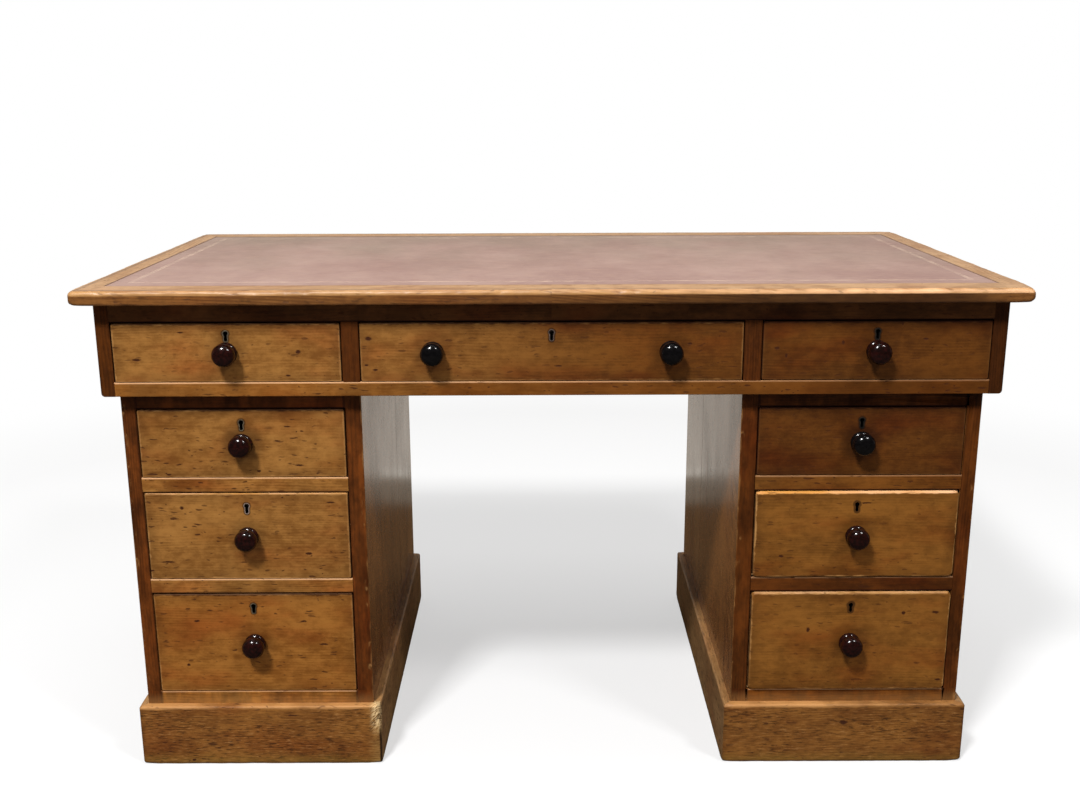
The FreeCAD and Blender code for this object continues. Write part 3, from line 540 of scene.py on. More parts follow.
def leather():
    """Faded mauve leather, greyer towards the back, with the last of the gilt in its tooled lines."""
    low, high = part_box("leather_inset")
    paint = Paint("writing_leather")
    patches = paint.noise((6.0, 4.5, 4.5), detail=5.0, roughness=0.6)
    clouds = paint.noise((9.0, 5.0, 5.0), detail=3.0)
    fine = paint.noise((60.0, 90.0, 90.0), detail=4.0, roughness=0.65)
    worn = paint.noise((36.0, 80.0, 80.0), detail=6.0, roughness=0.72)
    flaked = paint.noise((40.0, 40.0, 40.0), detail=4.0)
    lines = paint.most(*[tool_gap(paint, *line).step(2.4 * MM, 0.4 * MM) for line in TOOL_LINES])
    colour = paint.mix(patches.step(0.3, 0.7), linear(MAUVE), linear(PLUM))
    for amount, tone in (((clouds * 0.9 + paint.y * 1.1).step(0.2, 1.0) * 0.8, GREYED),
                         (fine.step(0.45, 0.8) * 0.45, DUSTY),
                         (worn.step(0.5, 0.75) * 0.35, FADED),
                         (worn.step(0.48, 0.28) * 0.3, WINE),
                         (paint.edge_gap(low, high, "XY").step(3.2 * MM, 1.2 * MM) * 0.5, EDGE_STAIN),
                         (lines * (flaked.step(0.42, 0.68) * 0.26 + 0.12), GILT)):
        colour = paint.mix(amount, colour, linear(tone))
    pebbles, _ = paint.cells((750.0, 750.0, 750.0))
    paint.set(Base_Color=colour, Roughness=patches * 0.3 + 0.36, Specular_IOR_Level=0.42,
              Normal=paint.bump(fine * 0.6 + pebbles * 0.5, 0.14 * MM))
    return paint.material


def case_pine(side):
    """A pedestal's sides, which stand upright and shine, and its level boards and back boards."""
    low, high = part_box(side + "_pedestal_case")
    drawer_low, drawer_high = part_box(side + "_top_drawer_front")
    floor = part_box(side + "_bottom_drawer_front")[0].z
    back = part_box("pedestal_runners")[1].y
    seam = low.y + CASE_SEAM
    paint = Pine(side + "_case_pine")
    inside = paint.x.between(drawer_low.x, drawer_high.x)
    level = inside * (paint.y < back)
    paint.lay("ZYX", regions=[(level, "XZY"), (inside * (paint.y > back), "ZXY")],
              boards=[paint.x > (low.x + high.x) / 2, paint.y > seam, paint.z > floor, level])
    paint.tint(*wood(SIDE), rings=0.8, flecks=0.3)
    paint.dark = paint.most(paint.dark, abs(paint.y - seam).step(1.6 * MM, 0.5 * MM) * 0.9)
    return paint.wax(0.24, 0.45)


def stile_pine(side):
    """The front edges of a pedestal's case: dark uprights and top board, and a bottom board like rails."""
    low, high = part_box(side + "_pedestal_case")
    drawer_low, drawer_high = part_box(side + "_top_drawer_front")
    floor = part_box(side + "_bottom_drawer_front")[0].z
    uprights, bottom = (LEFT_STILE, RUSSET) if side == "left" else (STILE, RUST)
    paint = Pine(side + "_stile_pine")
    level = paint.x.between(drawer_low.x, drawer_high.x)
    paint.lay("ZXY", regions=[(level, "XZY")],
              boards=[paint.x > (low.x + high.x) / 2, paint.z > floor, level])
    foot = level * (paint.z < floor)
    paint.tint(*paint.blend(foot, wood(uprights), wood(bottom)), rings=0.5, flecks=0.4, hue=0.7, streak=0.6)
    paint.vary((38.0, 38.0, 11.0), 0.6, 1.45)
    # Painted shade: darker towards the top, under the frieze
    paint.cover(DIRT_AND_SHADE, paint.z.step(high.z - 40 * MM, high.z - 10 * MM) * 0.3)
    rag = paint.noise((60.0, 60.0, 25.0), detail=3.0) * (9 * MM)
    gap = paint.edge_gap(low, high, "X") + rag
    paint.cover(WORN, gap.step(6.5 * MM, 3.5 * MM) * 0.36)
    # A painted highlight with wear along the bottom board's upper edge
    paint.cover(HIGHLIGHT_AND_WEAR, paint.z.between(floor - 2.2 * MM, floor + 1 * MM) * level * 0.5)
    # Painted shade in the gaps beside the drawers and over the top one
    beside = paint.least(1.0, abs(paint.x - drawer_low.x), abs(paint.x - drawer_high.x))
    paint.cover(GAP_SHADE, beside.step(2.6 * MM, 1.2 * MM) * 0.6)
    paint.cover(GAP_SHADE, paint.z.between(drawer_high.z, drawer_high.z + 3.2 * MM) * level * 0.75)
    chips = paint.noise((120.0, 120.0, 60.0), detail=3.0).step(0.6, 0.72)
    paint.cover(WORN, chips * gap.step(12 * MM, 6 * MM) * 0.5)
    paint.cover(WORN, (paint.z + rag).step(low.z + 26 * MM, low.z + 4 * MM) * 0.25)
    return paint.wax(0.5, 0.1)


def rail_pine():
    """Front rails, rubbed along their upper edges with a painted highlight there, and with painted shade
    along their lower edges over the gaps. The frieze's top rail is dark, and so is the right pedestal's lower
    one; the others go from honey on the left to brown."""
    low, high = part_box("frieze_rails")
    frieze_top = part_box("frieze_left_drawer_front")[1].z
    between_rails, over_rails = RAIL_LEVELS
    paint = Pine("rail_pine")
    upper = paint.z > frieze_top
    paint.lay("XZY", boards=[paint.z > between_rails, paint.z > over_rails, upper, paint.x > 0.0])
    along = paint.x.step(low.x * 0.6, high.x * 0.9)
    woods = paint.blend(along, wood(HONEY), wood(BROWN))
    for mask, pair in ((upper, UMBER), ((paint.x > 0.2) * (paint.z < between_rails), STILE)):
        woods = paint.blend(mask, woods, wood(pair))
    paint.tint(*woods, rings=0.3, flecks=0.8, hue=0.9, streak=0.5)
    frieze = paint.z.between(low.z - 1 * MM, frieze_top)
    paint.cover(RUST[0], frieze * 0.5)
    paint.cover(DIRT_AND_SHADE, frieze * along * 0.3)
    paint.vary((14.0, 14.0, 30.0), 0.78, 1.24)
    edges = 0.0
    for drawer in ("frieze_left_drawer", "left_top_drawer", "left_middle_drawer"):
        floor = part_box(drawer + "_front")[0].z
        edges = paint.most(edges, paint.z.between(floor - 2.3 * MM, floor + 1 * MM))
    # A painted highlight with wear along the rails' upper edges
    paint.cover(HIGHLIGHT_AND_WEAR, edges * (along * -0.45 + 0.6))
    # Painted shade along the rails' lower edges, in the gaps over the drawers
    rag = paint.noise((25.0, 25.0, 25.0), detail=3.0) * (2 * MM) + paint.z
    for drawer in ("frieze_left_drawer", "left_middle_drawer", "left_bottom_drawer"):
        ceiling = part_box(drawer + "_front")[1].z
        paint.cover(GAP_SHADE, abs(rag - ceiling).step(5 * MM, 3.6 * MM) * 0.75)
    return paint.wax(0.5, 0.1)


def plain_pine(name, letters, pair, boards=(), specular=0.2, soiled=0.0):
    """Pine with nothing but its figure. boards are (axis, level) where one board ends and the next begins,
    and soiled is how much darker it is to the right."""
    paint = Pine(name)
    paint.lay(letters, boards=[paint.axes[letter] > level for letter, level in boards])
    paint.tint(*wood(pair), rings=0.6, flecks=0.4)
    if soiled:
        paint.cover(DIRT_AND_SHADE, (paint.x > 0.0) * soiled)
    return paint.wax(0.5, specular)


def splintered_corner(paint, low, high, lines, rag):
    """The left plinth's broken corner: frayed grain, pale slanting shreds, and a dark crack below."""
    away = paint.most(high.x - paint.x, paint.y - low.y)
    paint.cover(KHAKI, away.step(26 * MM, 4 * MM) * lines.step(0.6, 0.4) * 0.42)
    patch = away.step(20 * MM, 8 * MM) * paint.z.step(BROKEN_FOOT, BROKEN_HEIGHT)
    turn = paint.x - paint.y
    slant = paint.joined(paint.z * -0.7 + turn, turn * 0.7 + paint.z, 0.0)
    shreds = paint.noise((520.0, 90.0, 1.0), slant, detail=3.0, roughness=0.6)
    paint.cover(SPLINTER, patch * shreds.step(0.44, 0.54) * 0.85)
    paint.cover(DIRT_AND_SHADE, patch * shreds.step(0.42, 0.34) * 0.85)
    crack = (away - rag * 0.5).step(2.6 * MM, 1.0 * MM)
    paint.cover(DIRT_AND_SHADE, crack * paint.z.step(BROKEN_HEIGHT, BROKEN_FOOT) * 0.9)


def plinth_pine(side, letters):
    """Coarser boards with a strong grain, rubbed pale along the ledge and soiled at the foot."""
    low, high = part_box(side + "_plinth")
    middle = (low.x + high.x) / 2
    is_front = letters[0] == "X"
    paint = Pine(side + "_plinth_" + letters[0].lower())
    paint.lay(letters, boards=[paint.x > 0.0, (paint.y > 0.0) if is_front else (paint.x > middle)])
    paint.tint(*wood(PLINTH if is_front else PLINTH_SIDE), rings=0.4, flecks=0.7, hue=0.6, streak=0.4)
    lines = paint.noise((64.0, 480.0, 480.0), paint.grain, detail=4.0, roughness=0.7)
    coarse = paint.noise((7.0, 22.0, 22.0), paint.grain, detail=3.0).step(0.3, 0.6) * 0.65 + 0.35
    paint.cover(DIRT_AND_SHADE, lines.step(0.5, 0.63) * coarse * 0.75)
    paint.cover(WORN, lines.step(0.44, 0.32) * coarse * 0.5)
    rag = paint.noise((25.0, 25.0, 60.0), detail=3.0) * (5 * MM)
    ledge = (paint.z + rag).step(high.z - 4 * MM, high.z)
    rubbed = paint.noise((11.0, 11.0, 11.0), detail=4.0).step(0.3, 0.6) * 0.6 + 0.12
    if not is_front:
        rubbed = rubbed * 0.3
    if side == "right":
        rubbed = rubbed * (paint.x.step(middle, high.x) * -0.7 + 1.1)
        paint.cover(DIRT_AND_SHADE, 0.1)
    paint.cover(LEDGE, ledge * rubbed)
    paint.cover(OLIVE, (paint.z + rag * 5.0).step(36 * MM, 14 * MM) * 0.32)
    paint.cover(DIRT_AND_SHADE, (paint.z - rag).step(3 * MM, 0.0) * 0.45)
    if is_front:
        for x, z, length, height in PLINTH_MARKS[side]:
            paint.bruise(middle + x * MM, z * MM, length * MM, height * MM)
    post = paint.edge_gap(low, high, letters[0])
    paint.cover(DIRT_AND_SHADE, post.step(9 * MM, 0.0) * 0.3)
    paint.cover(DIRT_AND_SHADE, post.step(1.5 * MM, 0.4 * MM) * 0.6)
    if side == "left":
        splintered_corner(paint, low, high, lines, rag)
    return paint.wax(0.5, 0.2)


def turned(name, pale, deep):
    """Dark polished wood with the grain along the knob's axis."""
    paint = Paint(name)
    streaks = paint.noise((260.0, 40.0, 260.0), detail=3.0)
    rubbed = paint.noise((40.0, 40.0, 40.0))
    colour = paint.mix(streaks.step(0.35, 0.7), linear(deep), linear(pale))
    paint.set(Base_Color=colour, Roughness=rubbed * 0.12 + 0.1, Specular_IOR_Level=0.4,
              Normal=paint.bump(streaks, 0.03 * MM))
    return paint.material


def metal(name, bright, dull, roughness, metallic, drawer=None):
    """Stained metal. A drawer's lock is painted black inside its keyhole, as painted shade."""
    paint = Paint(name)
    stain = paint.noise((180.0, 180.0, 180.0), detail=4.0, roughness=0.6)
    colour = paint.mix(stain.step(0.35, 0.65), linear(bright), linear(dull))
    if drawer:
        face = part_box(drawer + "_front")[0].y
        # Painted shade in the keyhole's throat and at its lip
        throat = paint.y.between(face + 0.3 * MM, face + KEY_DEPTH)
        lip = keyhole_gap(paint, drawer).step(1.0 * MM, 0.5 * MM) * (paint.y < face + KEY_DEPTH)
        colour = paint.mix(paint.most(throat, lip), colour, linear(KEYHOLE_SHADE))
    paint.set(Base_Color=colour, Metallic=metallic, Roughness=stain * 0.3 + (roughness - 0.15),
              Normal=paint.bump(stain, 0.05 * MM))
    return paint.material


def dress(node, material):
    NODES[node].data.materials.clear()
    NODES[node].data.materials.append(material)


def placed(name, data):
    """A new object in the scene."""
    thing = bpy.data.objects.new(name, data)
    bpy.context.scene.collection.objects.link(thing)
    return thing


def as_mesh(name, solid):
    mesh = bpy.data.meshes.new(name)
    solid.to_mesh(mesh)
    solid.free()
    return mesh


def new_piece(name, mesh, node, materials, body, slot):
    """A finished mesh that stands for a node of the frame and rides on its body."""
    for material in materials:
        mesh.materials.append(material)
    mesh.shade_smooth()
    mesh.set_sharp_from_angle(angle=math.radians(38))
    piece = placed(name, mesh)
    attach(piece, body)
    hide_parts(node)
    return piece


def slab(name, face, back, wide):
    """A closed mesh between two sheets of points, which stand in rows that are some points wide."""
    count = len(face)
    tall = count // wide
    cells = [(r * wide + c, r * wide + c + 1, (r + 1) * wide + c + 1, (r + 1) * wide + c)
             for r in range(tall - 1) for c in range(wide - 1)]
    rim = list(range(wide)) + [r * wide + wide - 1 for r in range(1, tall)]
    rim += [(tall - 1) * wide + c for c in range(wide - 2, -1, -1)]
    rim += [r * wide for r in range(tall - 2, 0, -1)]
    walls = [(b, a, count + a, count + b) for a, b in zip(rim, rim[1:] + rim[:1])]
    behind = [tuple(count + i for i in reversed(cell)) for cell in cells]
    mesh = bpy.data.meshes.new(name)
    mesh.from_pydata(face + back, [], cells + behind + walls)
    return mesh


def spaced(low, high, step, near):
    """Lines from low to high, a step apart in the middle and closer at both ends."""
    inset = near[-1]
    count = max(2, round((high - low - 2 * inset) / step))
    middle = [low + inset + (high - low - 2 * inset) * i / count for i in range(1, count)]
    return [low + d for d in near] + middle + [high - d for d in reversed(near)]


def bare_solid(node):
    """A node's solid, welded into closed shells."""
    data = NODES[node].data
    solid = bmesh.new()
    points = [solid.verts.new(v.co) for v in data.vertices]
    for polygon in data.polygons:
        solid.faces.new([points[i] for i in polygon.vertices])
    bmesh.ops.remove_doubles(solid, verts=solid.verts, dist=0.002 * MM)
    return solid


def eased(node, slot, materials, chosen, width, wear=None):
    """A node whose chosen edges are worn round. chosen takes an edge's two ends, and wear moves a point.
    Faces to the front have the last of its materials, and the others the first."""
    solid = bare_solid(node)
    bmesh.ops.dissolve_limit(solid, angle_limit=math.radians(0.5), verts=solid.verts, edges=solid.edges)
    edges = [e for e in solid.edges
             if e.is_manifold and e.calc_face_angle() > 1.2 and chosen(e.verts[0].co, e.verts[1].co)]
    bmesh.ops.bevel(solid, geom=edges, offset=width, segments=4, profile=0.5, affect="EDGES",
                    clamp_overlap=True)
    if wear:
        for vertex in solid.verts:
            vertex.co = wear(vertex.co)
    solid.normal_update()
    for face in solid.faces:
        face.material_index = len(materials) - 1 if face.normal.y < -0.3 else 0
    new_piece(node + "_eased", as_mesh(node + "_eased", solid), node, materials, "desk", slot)


def front_edges(front, letter):
    """Chooses the edges of a front face that run along an axis."""
    i = "XYZ".index(letter)
    return lambda a, b: max(abs(a.y - front), abs(b.y - front)) < 0.1 * MM and abs(a[i] - b[i]) > 20 * MM


def rounder_foot(point):
    """Widens the rounding of the frieze ends' lower outer edges."""
    low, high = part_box("frieze_ends")
    across, up = high.x - abs(point.x), point.z - low.z
    if max(across, up) > END_ROUND + 0.02 * MM:
        return point
    return Vector((math.copysign(high.x - across * END_WEAR, point.x), point.y, low.z + up * END_WEAR))


def fan(count):
    """Angles over a quarter turn."""
    return [math.pi / 2 * i / count for i in range(count + 1)]


def board_section(width, low, high, upper, lower, face):
    """A board's section, as (distance in from its outer face, height), with its two outer edges round."""
    loop = [(width + (lower - width) * i / 4, low) for i in range(4)]
    loop += [(lower - lower * math.sin(a), low + lower - lower * math.cos(a)) for a in fan(4)]
    rise = high - upper - low - lower
    loop += [(0.0, low + lower + rise * i / face) for i in range(1, face)]
    loop += [(upper - upper * math.cos(a), high - upper + upper * math.sin(a)) for a in fan(8)]
    loop += [(upper + (width - upper) * i / 8, high) for i in range(1, 9)]
    return loop


def round_plan(point, low, high, radius):
    """Turns the square corners of a box into round ones, in plan."""
    x = min(point.x - low.x, high.x - point.x)
    y = min(point.y - low.y, high.y - point.y)
    a, b = radius - x, radius - y
    if a <= 0 or b <= 0:
        return point
    pull = 1 - max(a, b) / math.hypot(a, b)
    east = 1 if point.x > (low.x + high.x) / 2 else -1
    north = 1 if point.y > (low.y + high.y) / 2 else -1
    return point - Vector((east * a * pull, north * b * pull, 0.0))


def mitred_ring(low, high, widths, arrises, face, corner, wear):
    """Four boards mitred at the corners. widths are those of the side and of the front boards, arrises the
    radii of the upper and lower outer edges, and wear moves each point of the surface."""
    ring = bmesh.new()
    near = [d * MM for d in (0.0, 0.5, 1.0, 1.6, 2.3, 3.1, 4.0, 5.2, 6.8, 9.0)]
    for side in range(4):
        level = side % 2 == 0
        width, other = (widths[1], widths[0]) if level else (widths[0], widths[1])
        length = (high.x - low.x) if level else (high.y - low.y)
        rows = []
        for s in spaced(0.0, length, 4 * MM, near):
            def place(inward, height):
                along = inward * other / width
                run = along + (length - 2 * along) * s / length
                spot = ((low.x + run, low.y + inward), (high.x - inward, low.y + run),
                        (high.x - run, high.y - inward), (low.x + inward, high.y - run))[side]
                return Vector((*spot, height))

            at = place(0.0, high.z)
            rounder = 1 + 0.7 * max(0.0, 1 - min(s, length - s) / (28 * MM)) ** 2
            upper = 1 + 0.3 * wobble(at, 70 * MM, 1) + 0.2 * wobble(at, 15 * MM, 2)
            lower = 1 + 0.3 * wobble(at, 50 * MM, 3) + 0.3 * wobble(at, 12 * MM, 4)
            section = board_section(width, low.z, high.z, rounder * arrises[0] * upper,
                                    rounder ** 2 * arrises[1] * lower, face)
            worn = [round_plan(wear(place(v, z)), low, high, corner) for v, z in section]
            rows.append([ring.verts.new(point) for point in worn])
        made = []
        for one, two in zip(rows, rows[1:]):
            for i in range(len(one)):
                j = (i + 1) % len(one)
                made.append(ring.faces.new((one[i], one[j], two[j], two[i])))
        made += [ring.faces.new(rows[0]), ring.faces.new(list(reversed(rows[-1])))]
        for made_face in made:
            made_face.material_index = 0 if level else 1
    bmesh.ops.recalc_face_normals(ring, faces=ring.faces)
    return ring


def dented(point, dents):
    """Pushes a point in wherever a dent reaches it. Each dent is (centre, size, push)."""
    moved = point
    for centre, size, push in dents:
        near = (point - centre).length_squared / size ** 2
        if near < 1:
            moved = moved + push * (1 - near) ** 2
    return moved


def edge_dents(draw, low, high, count, sizes, depths):
    """Dents scattered along a box's upper edges, the front one above all."""
    dents = []
    for _ in range(count):
        across = draw.uniform(low.x, high.x)
        along = draw.uniform(low.y, high.y)
        depth = draw.uniform(*depths)
        front = ((across, low.y), (0, 1))
        centre, inward = draw.choice((front, front, front, ((across, high.y), (0, -1)),
                                      ((low.x, along), (1, 0)), ((high.x, along), (-1, 0))))
        push = Vector((*inward, -draw.uniform(0.5, 1.5))).normalized() * depth
        dents.append((Vector((*centre, high.z - draw.uniform(0.0, 3.0) * MM)), draw.uniform(*sizes), push))
    return dents


def worn_border():
    low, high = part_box("top_border")
    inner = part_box("leather_inset")[1]
    dents = edge_dents(random.Random(31), low, high, 46, (3 * MM, 10 * MM), (0.4 * MM, 1.6 * MM))

    def wear(point):
        sunk = (0.15 + 0.13 * wobble(point, 70 * MM, 5)) * MM if point.z > high.z - 0.1 * MM else 0.0
        return dented(point - Vector((0, 0, sunk)), dents)

    ring = mitred_ring(low, high, (high.x - inner.x, high.y - inner.y), (6.2 * MM, 3 * MM), 6, 8.5 * MM, wear)
    new_piece("top_border_worn", as_mesh("top_border_worn", ring), "top_border",
              [border_pine("border_pine", "XYZ"), border_pine("border_side_pine", "YXZ")], "desk", "top_pine")


def worn_plinth(side):
    """A plinth: wavy boards with a rubbed ledge, and on the left one a splintered front corner."""
    low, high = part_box(side + "_plinth")
    middle = (low + high) / 2
    dents = edge_dents(random.Random(len(side)), low, high, 18, (4 * MM, 11 * MM), (0.4 * MM, 1.5 * MM))
    broken = Vector((high.x, low.y)) if side == "left" else None
    inward = Vector((-0.707, 0.707, 0.0))

    def wear(point):
        hollow = (0.25 + 0.22 * wobble(point, 45 * MM, 6)) * MM
        moved = point.copy()
        if point.y < low.y + 0.1 * MM or point.y > high.y - 0.1 * MM:
            moved.y += math.copysign(hollow, middle.y - point.y)
        if point.x < low.x + 0.1 * MM or point.x > high.x - 0.1 * MM:
            moved.x += math.copysign(hollow, middle.x - point.x)
        if broken:
            away = (point.xy - broken).length
            band = min(1.0, max(0.0, (point.z - BROKEN_FOOT) / (BROKEN_HEIGHT - BROKEN_FOOT)))
            reach = (17 + 8 * wobble(point, 14 * MM, 7)) * MM
            turn = point.x - point.y
            splinter = 0.55 + 0.5 * wobble((turn - 0.7 * point.z, 0.3 * (turn + point.z), 0.0), 7 * MM, 8)
            if away < reach:
                moved += inward * (9 * MM * band * (1 - away / reach) * max(0.0, splinter))
            moved += inward * max(0.0, 1 - away / (1.6 * MM)) * 1.3 * MM
        return dented(moved, dents)

    ring = mitred_ring(low, high, (PLINTH_BOARD, PLINTH_BOARD), (3.6 * MM, 2.4 * MM), 40, 3 * MM, wear)
    inset = PLINTH_BOARD + PLINTH_BLOCK / 2
    height = high.z - BLOCK_LIFT
    size = Matrix.Diagonal((PLINTH_BLOCK, PLINTH_BLOCK, height, 1))
    for x in (low.x + inset, high.x - inset):
        for y in (low.y + inset, high.y - inset):
            spot = Matrix.Translation((x, y, BLOCK_LIFT + height / 2)) @ size
            made = bmesh.ops.create_cube(ring, size=1.0, matrix=spot)["verts"]
            edges = {e for v in made for e in v.link_edges}
            bmesh.ops.bevel(ring, geom=list(edges), offset=1.5 * MM, segments=2, profile=0.5, affect="EDGES")
    new_piece(side + "_plinth_worn", as_mesh(side + "_plinth_worn", ring), side + "_plinth",
              [plinth_pine(side, "XZY"), plinth_pine(side, "YZX")], "desk", "plinth_pine")


def knob_profile():
    """A knob's outline, as (distance out from the drawer's face, radius)."""
    depth, radius = KNOB_TENON
    profile = [(-depth, radius), (0.0, radius)]
    for out, size, along, across, start, end in KNOB_ARCS.values():
        for step in range(KNOB_ARC_STEPS + 1):
            angle = math.radians(start + (end - start) * step / KNOB_ARC_STEPS)
            profile.append(((out + along * math.cos(angle)) * MM, (size + across * math.sin(angle)) * MM))
    return profile


def turned_knobs(drawer, node, slot, material):
    """A drawer's knobs: a collar against the front, a neck, and a domed bun, turned about the knob's axis."""
    low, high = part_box(node)
    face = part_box(drawer + "_front")[0].y
    centre = (low.z + high.z) / 2
    profile = knob_profile()
    turns = [2 * math.pi * k / KNOB_SIDES for k in range(KNOB_SIDES)]
    points, faces = [], []
    for x in knob_places(drawer):
        first = len(points)
        for out, size in profile:
            points += [(x + size * math.sin(turn), face - out, centre + size * math.cos(turn))
                       for turn in turns]
        for row in range(len(profile) - 1):
            for k in range(KNOB_SIDES):
                a, b = first + row * KNOB_SIDES + k, first + row * KNOB_SIDES + (k + 1) % KNOB_SIDES
                faces.append((a, b, b + KNOB_SIDES, a + KNOB_SIDES))
        last = first + (len(profile) - 1) * KNOB_SIDES
        faces += [tuple(range(first + KNOB_SIDES - 1, first - 1, -1)), tuple(range(last, last + KNOB_SIDES))]
    mesh = bpy.data.meshes.new(node + "_turned")
    mesh.from_pydata(points, [], faces)
    new_piece(node + "_turned", mesh, node, [material], drawer, slot)


def writing_leather():
    """A thin skin laid in the border: its edges are turned down a little, and lines are pressed round it."""
    low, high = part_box("leather_inset")

    def lines(end, insets):
        marks = set(i / 1000 for i in range(-round(end * 1000) + 9, round(end * 1000) - 8, 8))
        for inset in insets:
            for offset in (-1.0, -0.5, 0.0, 0.5, 1.0):
                marks |= {end - inset + offset * MM, -end + inset - offset * MM}
        for offset in (0.0, 0.8, 1.8, 3.2, 5.0):
            marks |= {end - offset * MM, -end + offset * MM}
        return sorted(marks)

    def depth(x, y):
        edge = min(high.x - abs(x), high.y - abs(y))
        sunk = 0.3 * MM * max(0.0, 1 - edge / (3 * MM)) ** 2
        sunk += (0.09 + 0.08 * wobble((x, y, 0), 90 * MM, 9)) * MM
        for side, end in TOOL_LINES:
            gap = abs(max(abs(x) - (high.x - side), abs(y) - (high.y - end)))
            sunk += 0.22 * MM * max(0.0, 1 - gap / (1.0 * MM))
        return sunk

    xs = lines(high.x, [side for side, _ in TOOL_LINES])
    ys = lines(high.y, [end for _, end in TOOL_LINES])
    upper = [(x, y, high.z - depth(x, y)) for y in ys for x in xs]
    lower = [(x, y, low.z) for y in ys for x in xs]
    mesh = slab("writing_leather", upper, lower, len(xs))
    piece = new_piece("writing_leather", mesh, "leather_inset", [leather()], "desk", "leather")


def front_wear(low, high, arris, number):
    """How deep a front has worn at (x, z), as a function: round arrises, a slight unevenness, and dents."""
    draw = random.Random(number)
    dents = [(draw.uniform(low.x, high.x), draw.uniform(low.z, high.z),
              draw.uniform(2.0, 5.0) * MM, draw.uniform(0.15, 0.5) * MM) for _ in range(14)]
    corner = 2.2 * arris

    def depth(x, z):
        at = (x, 0, z)
        dx = min(x - low.x, high.x - x)
        dz = min(z - low.z, high.z - z)
        radius = arris * (1 + 0.5 * wobble(at, 35 * MM, number) + 0.25 * wobble(at, 9 * MM, number))
        gap = min(dx, dz)
        if max(dx, dz) < corner:
            gap = corner - math.hypot(corner - dx, corner - dz)
        sunk = (0.1 + 0.04 * wobble(at, 60 * MM, number)) * MM
        if gap < radius:
            reach = min(radius - gap, radius)
            sunk += radius - math.sqrt(radius ** 2 - reach ** 2)
        if gap < 0:
            sunk -= 4 * gap
        for cx, cz, size, deep in dents:
            near = ((x - cx) ** 2 + (z - cz) ** 2) / size ** 2
            if near < 1:
                sunk += deep * (1 - near) ** 2
        return sunk

    return depth


def common_part(one, other):
    """The mesh that two closed meshes share."""
    cutter = placed("wear", other)
    base = placed("base", one)
    modifier = base.modifiers.new("wear", "BOOLEAN")
    modifier.operation = "INTERSECT"
    modifier.solver = "MANIFOLD"
    modifier.object = cutter
    shaped = base.evaluated_get(bpy.context.evaluated_depsgraph_get())
    mesh = bpy.data.meshes.new_from_object(shaped)
    bpy.data.objects.remove(base)
    bpy.data.objects.remove(cutter)
    mesh.materials.clear()
    return mesh


def worn_front(drawer, number, raw):
    """A drawer front whose face is a little uneven, dented, and rounded by wear along its arrises."""
    node = drawer + "_front"
    low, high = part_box(node)
    depth = front_wear(low, high, WORN_ARRIS if drawer in WORN_FRONTS else FRONT_ARRIS, number)
    near = [d * MM for d in (0.0, 0.5, 0.8, 1.1, 1.5, 2.0, 2.6, 3.3, 4.1, 5.0, 6.2)]
    spare = 0.5 * MM
    xs = spaced(low.x - spare, high.x + spare, 2 * MM, near)
    zs = spaced(low.z - spare, high.z + spare, 2 * MM, near)
    face = [(x, low.y + depth(x, z), z) for z in zs for x in xs]
    back = [(x, high.y + spare, z) for z in zs for x in xs]
    mesh = common_part(as_mesh("base", bare_solid(node)), slab("wear", face, back, len(xs)))
    for polygon in mesh.polygons:
        polygon.material_index = int(polygon.normal.y > 0.5)
    new_piece(node + "_worn", mesh, node, [front_pine(drawer, number), raw], drawer, "front_pine")


def make_camera():
    data = bpy.data.cameras.new("camera")
    data.sensor_width = SENSOR_WIDTH
    data.lens = PHOTO_FOCUS / PHOTO_WIDTH * SENSOR_WIDTH
    data.clip_start = 0.05
    data.clip_end = 100.0
    camera = placed("camera", data)
    camera.matrix_world = (Matrix.Translation(CAMERA_AT)
                           @ Matrix.Rotation(math.pi / 2 - CAMERA_PITCH, 4, "X")
                           @ Matrix.Rotation(-CAMERA_ROLL, 4, "Z"))
    bpy.context.scene.camera = camera


def softbox(name, at, target, size, power):
    data = bpy.data.lights.new(name, "AREA")
    data.shape = "RECTANGLE"
    data.size = size
    data.size_y = size
    data.energy = power
    lamp = placed(name, data)
    lamp.location = at
    lamp.rotation_euler = (Vector(target) - Vector(at)).to_track_quat("-Z", "Y").to_euler()


def make_floor():
    """A pale floor that shows the shadow. It is white to the eye far off, and dim in the light it returns. To
    glossy rays it is dark in front of the desk and glows in bands behind it, which polished wood shows as a
    painted reflection.
    """
    bpy.ops.mesh.primitive_plane_add(size=40.0)
    floor = bpy.context.object
    floor.name = "floor"
    paint = Paint("floor")
    path = paint.add("LightPath").outputs
    direct = path["Is Camera Ray"]
    mirrored = paint.most(path["Is Glossy Ray"], path["Is Transmission Ray"])
    seen = paint.most(paint.length(paint.x, paint.y).step(1.0, 2.6), 0.55) * direct
    behind = paint.y.step(-0.2, 0.4) * mirrored
    pale, dim, dark = [paint.add("BsdfDiffuse", [colour]).outputs[0] for colour in
                       ((0.86, 0.86, 0.86), (0.30, 0.28, 0.26), (0.05, 0.045, 0.04))]
    image = (0.05, 0.035, 0.02)
    for start, end, colour in MIRRORED_FLOOR:
        image = paint.mix(paint.y.step(start, end), image, colour)
    glow = paint.add("Emission", [paint.mix(mirrored, (1.0, 1.0, 1.0), image), 1.0])
    other = paint.add("MixShader", [mirrored, dim, dark])
    near = paint.add("MixShader", [direct, other.outputs[0], pale])
    whole = paint.add("MixShader", [paint.most(seen, behind), near.outputs[0], glow.outputs[0]])
    paint.put(paint.output.inputs["Surface"], whole.outputs[0])
    paint.nodes.remove(paint.shader)
    floor.data.materials.append(paint.material)


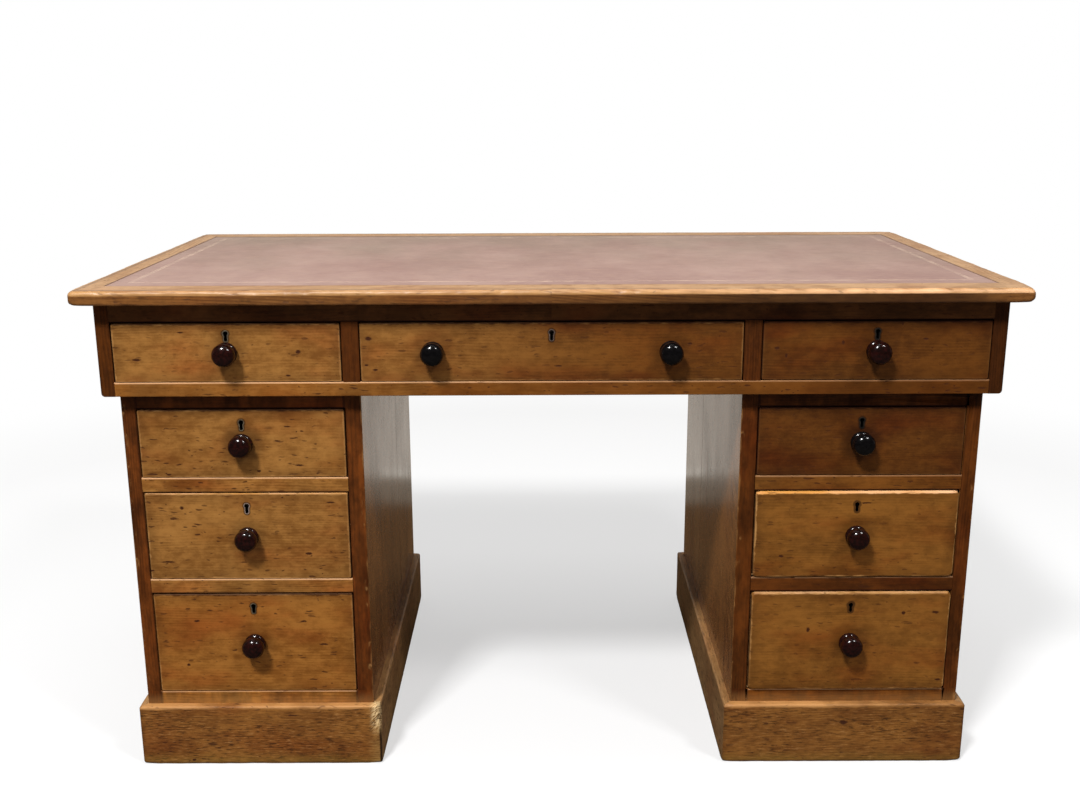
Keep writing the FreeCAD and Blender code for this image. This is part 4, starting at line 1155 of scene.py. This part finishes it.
def make_world():
    """White to the eye and in reflections from behind, and a dim even light."""
    world = bpy.data.worlds.new("studio")
    bpy.context.scene.world = world
    world.use_nodes = True
    graph = Graph(world.node_tree)
    path = graph.add("LightPath").outputs
    mirrored = graph.most(path["Is Glossy Ray"], path["Is Transmission Ray"])
    backward = graph.split(graph.add("TexCoord").outputs["Generated"])["Y"]
    behind = graph.add("MapRange", [backward, -0.1, 0.4, 0.06]).outputs[0]
    plain, back, white = [graph.add("Background", light).outputs[0] for light in
                          ([(1.0, 0.98, 0.95), 0.2], [(0.76, 0.69, 0.60), behind], [(1.0, 1.0, 1.0), 1.0])]
    unseen = graph.add("MixShader", [mirrored, plain, back])
    whole = graph.add("MixShader", [path["Is Camera Ray"], unseen.outputs[0], white])
    graph.add("OutputWorld", [whole.outputs[0]])


bpy.context.scene.view_settings.view_transform = "Standard"
make_camera()
make_floor()
make_world()
softbox("left_window", (-1.42, -3.2, 4.56), (0.0, 0.0, 0.4), 0.7, 300.0)
softbox("right_window", (2.5, -2.6, 4.56), (0.0, 0.0, 0.4), 0.8, 100.0)
softbox("ceiling", (0.0, 0.4, 4.2), (0.0, 0.0, 0.0), 2.2, 52.0)

raw_pine = plain_pine("raw_pine", "XZY", INNER, INNER_BOARDS)
for number, drawer in enumerate(DRAWERS):
    worn_front(drawer, number, raw_pine)
worn_border()
writing_leather()
for side in ("left", "right"):
    worn_plinth(side)

knobs = {"knob": turned("knob_wood", (0.15, 0.045, 0.035), (0.07, 0.025, 0.02)),
         "ebonised_knob": turned("ebonised_wood", (0.05, 0.045, 0.05), (0.025, 0.022, 0.026))}
for drawer in DRAWERS:
    node = knob_node(drawer)
    slot = NODES[node].data.materials[0].name
    turned_knobs(drawer, node, slot, knobs[slot])
rails = rail_pine()
frieze_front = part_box("frieze_rails")[0].y
case_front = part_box("left_pedestal_case")[0].y
halves = [("X", 0.0)]
partition = plain_pine("partition_pine", "ZXY", STILE, halves, specular=0.1)
frieze_end = plain_pine("frieze_end_pine", "YZX", STILE, halves, specular=0.3)
frieze_stile = plain_pine("frieze_stile_pine", "ZXY", STILE, halves, specular=0.08, soiled=0.5)
eased("frieze_rails", "rail_pine", [rails], front_edges(frieze_front, "X"), 1.6 * MM)
eased("pedestal_rails", "rail_pine", [rails], front_edges(case_front, "X"), 1.6 * MM)
for side in ("left", "right"):
    eased(side + "_pedestal_case", "case_pine", [case_pine(side), stile_pine(side)],
          front_edges(case_front, "Z"), 1.8 * MM)
eased("frieze_partitions", "rail_pine", [partition], front_edges(frieze_front, "Z"), 1.0 * MM)
eased("frieze_ends", "case_pine", [frieze_end, frieze_stile], front_edges(frieze_front, "Z"), 2.2 * MM,
      rounder_foot)
inner = plain_pine("inner_pine", "YXZ", INNER, INNER_BOARDS)
by_slot = {
    "inner_pine": inner,
    "brass": metal("dull_brass", *DULL_BRASS, 0.5, 0.5),
    "steel": metal("old_steel", (0.52, 0.50, 0.47), (0.30, 0.25, 0.21), 0.45, 0.9),
    "case_pine": plain_pine("frieze_back_pine", "XZY", SIDE),
    "top_pine": inner,
}
for node, shown in NODES.items():
    slot = shown.data.materials[0].name
    if slot in by_slot:
        dress(node, by_slot[slot])
for drawer in DRAWERS:
    bright, dull = LOCK_BRASS.get(drawer, DULL_BRASS)
    dress(drawer + "_lock", metal(drawer + "_brass", bright, dull, 0.5, 0.4, drawer))
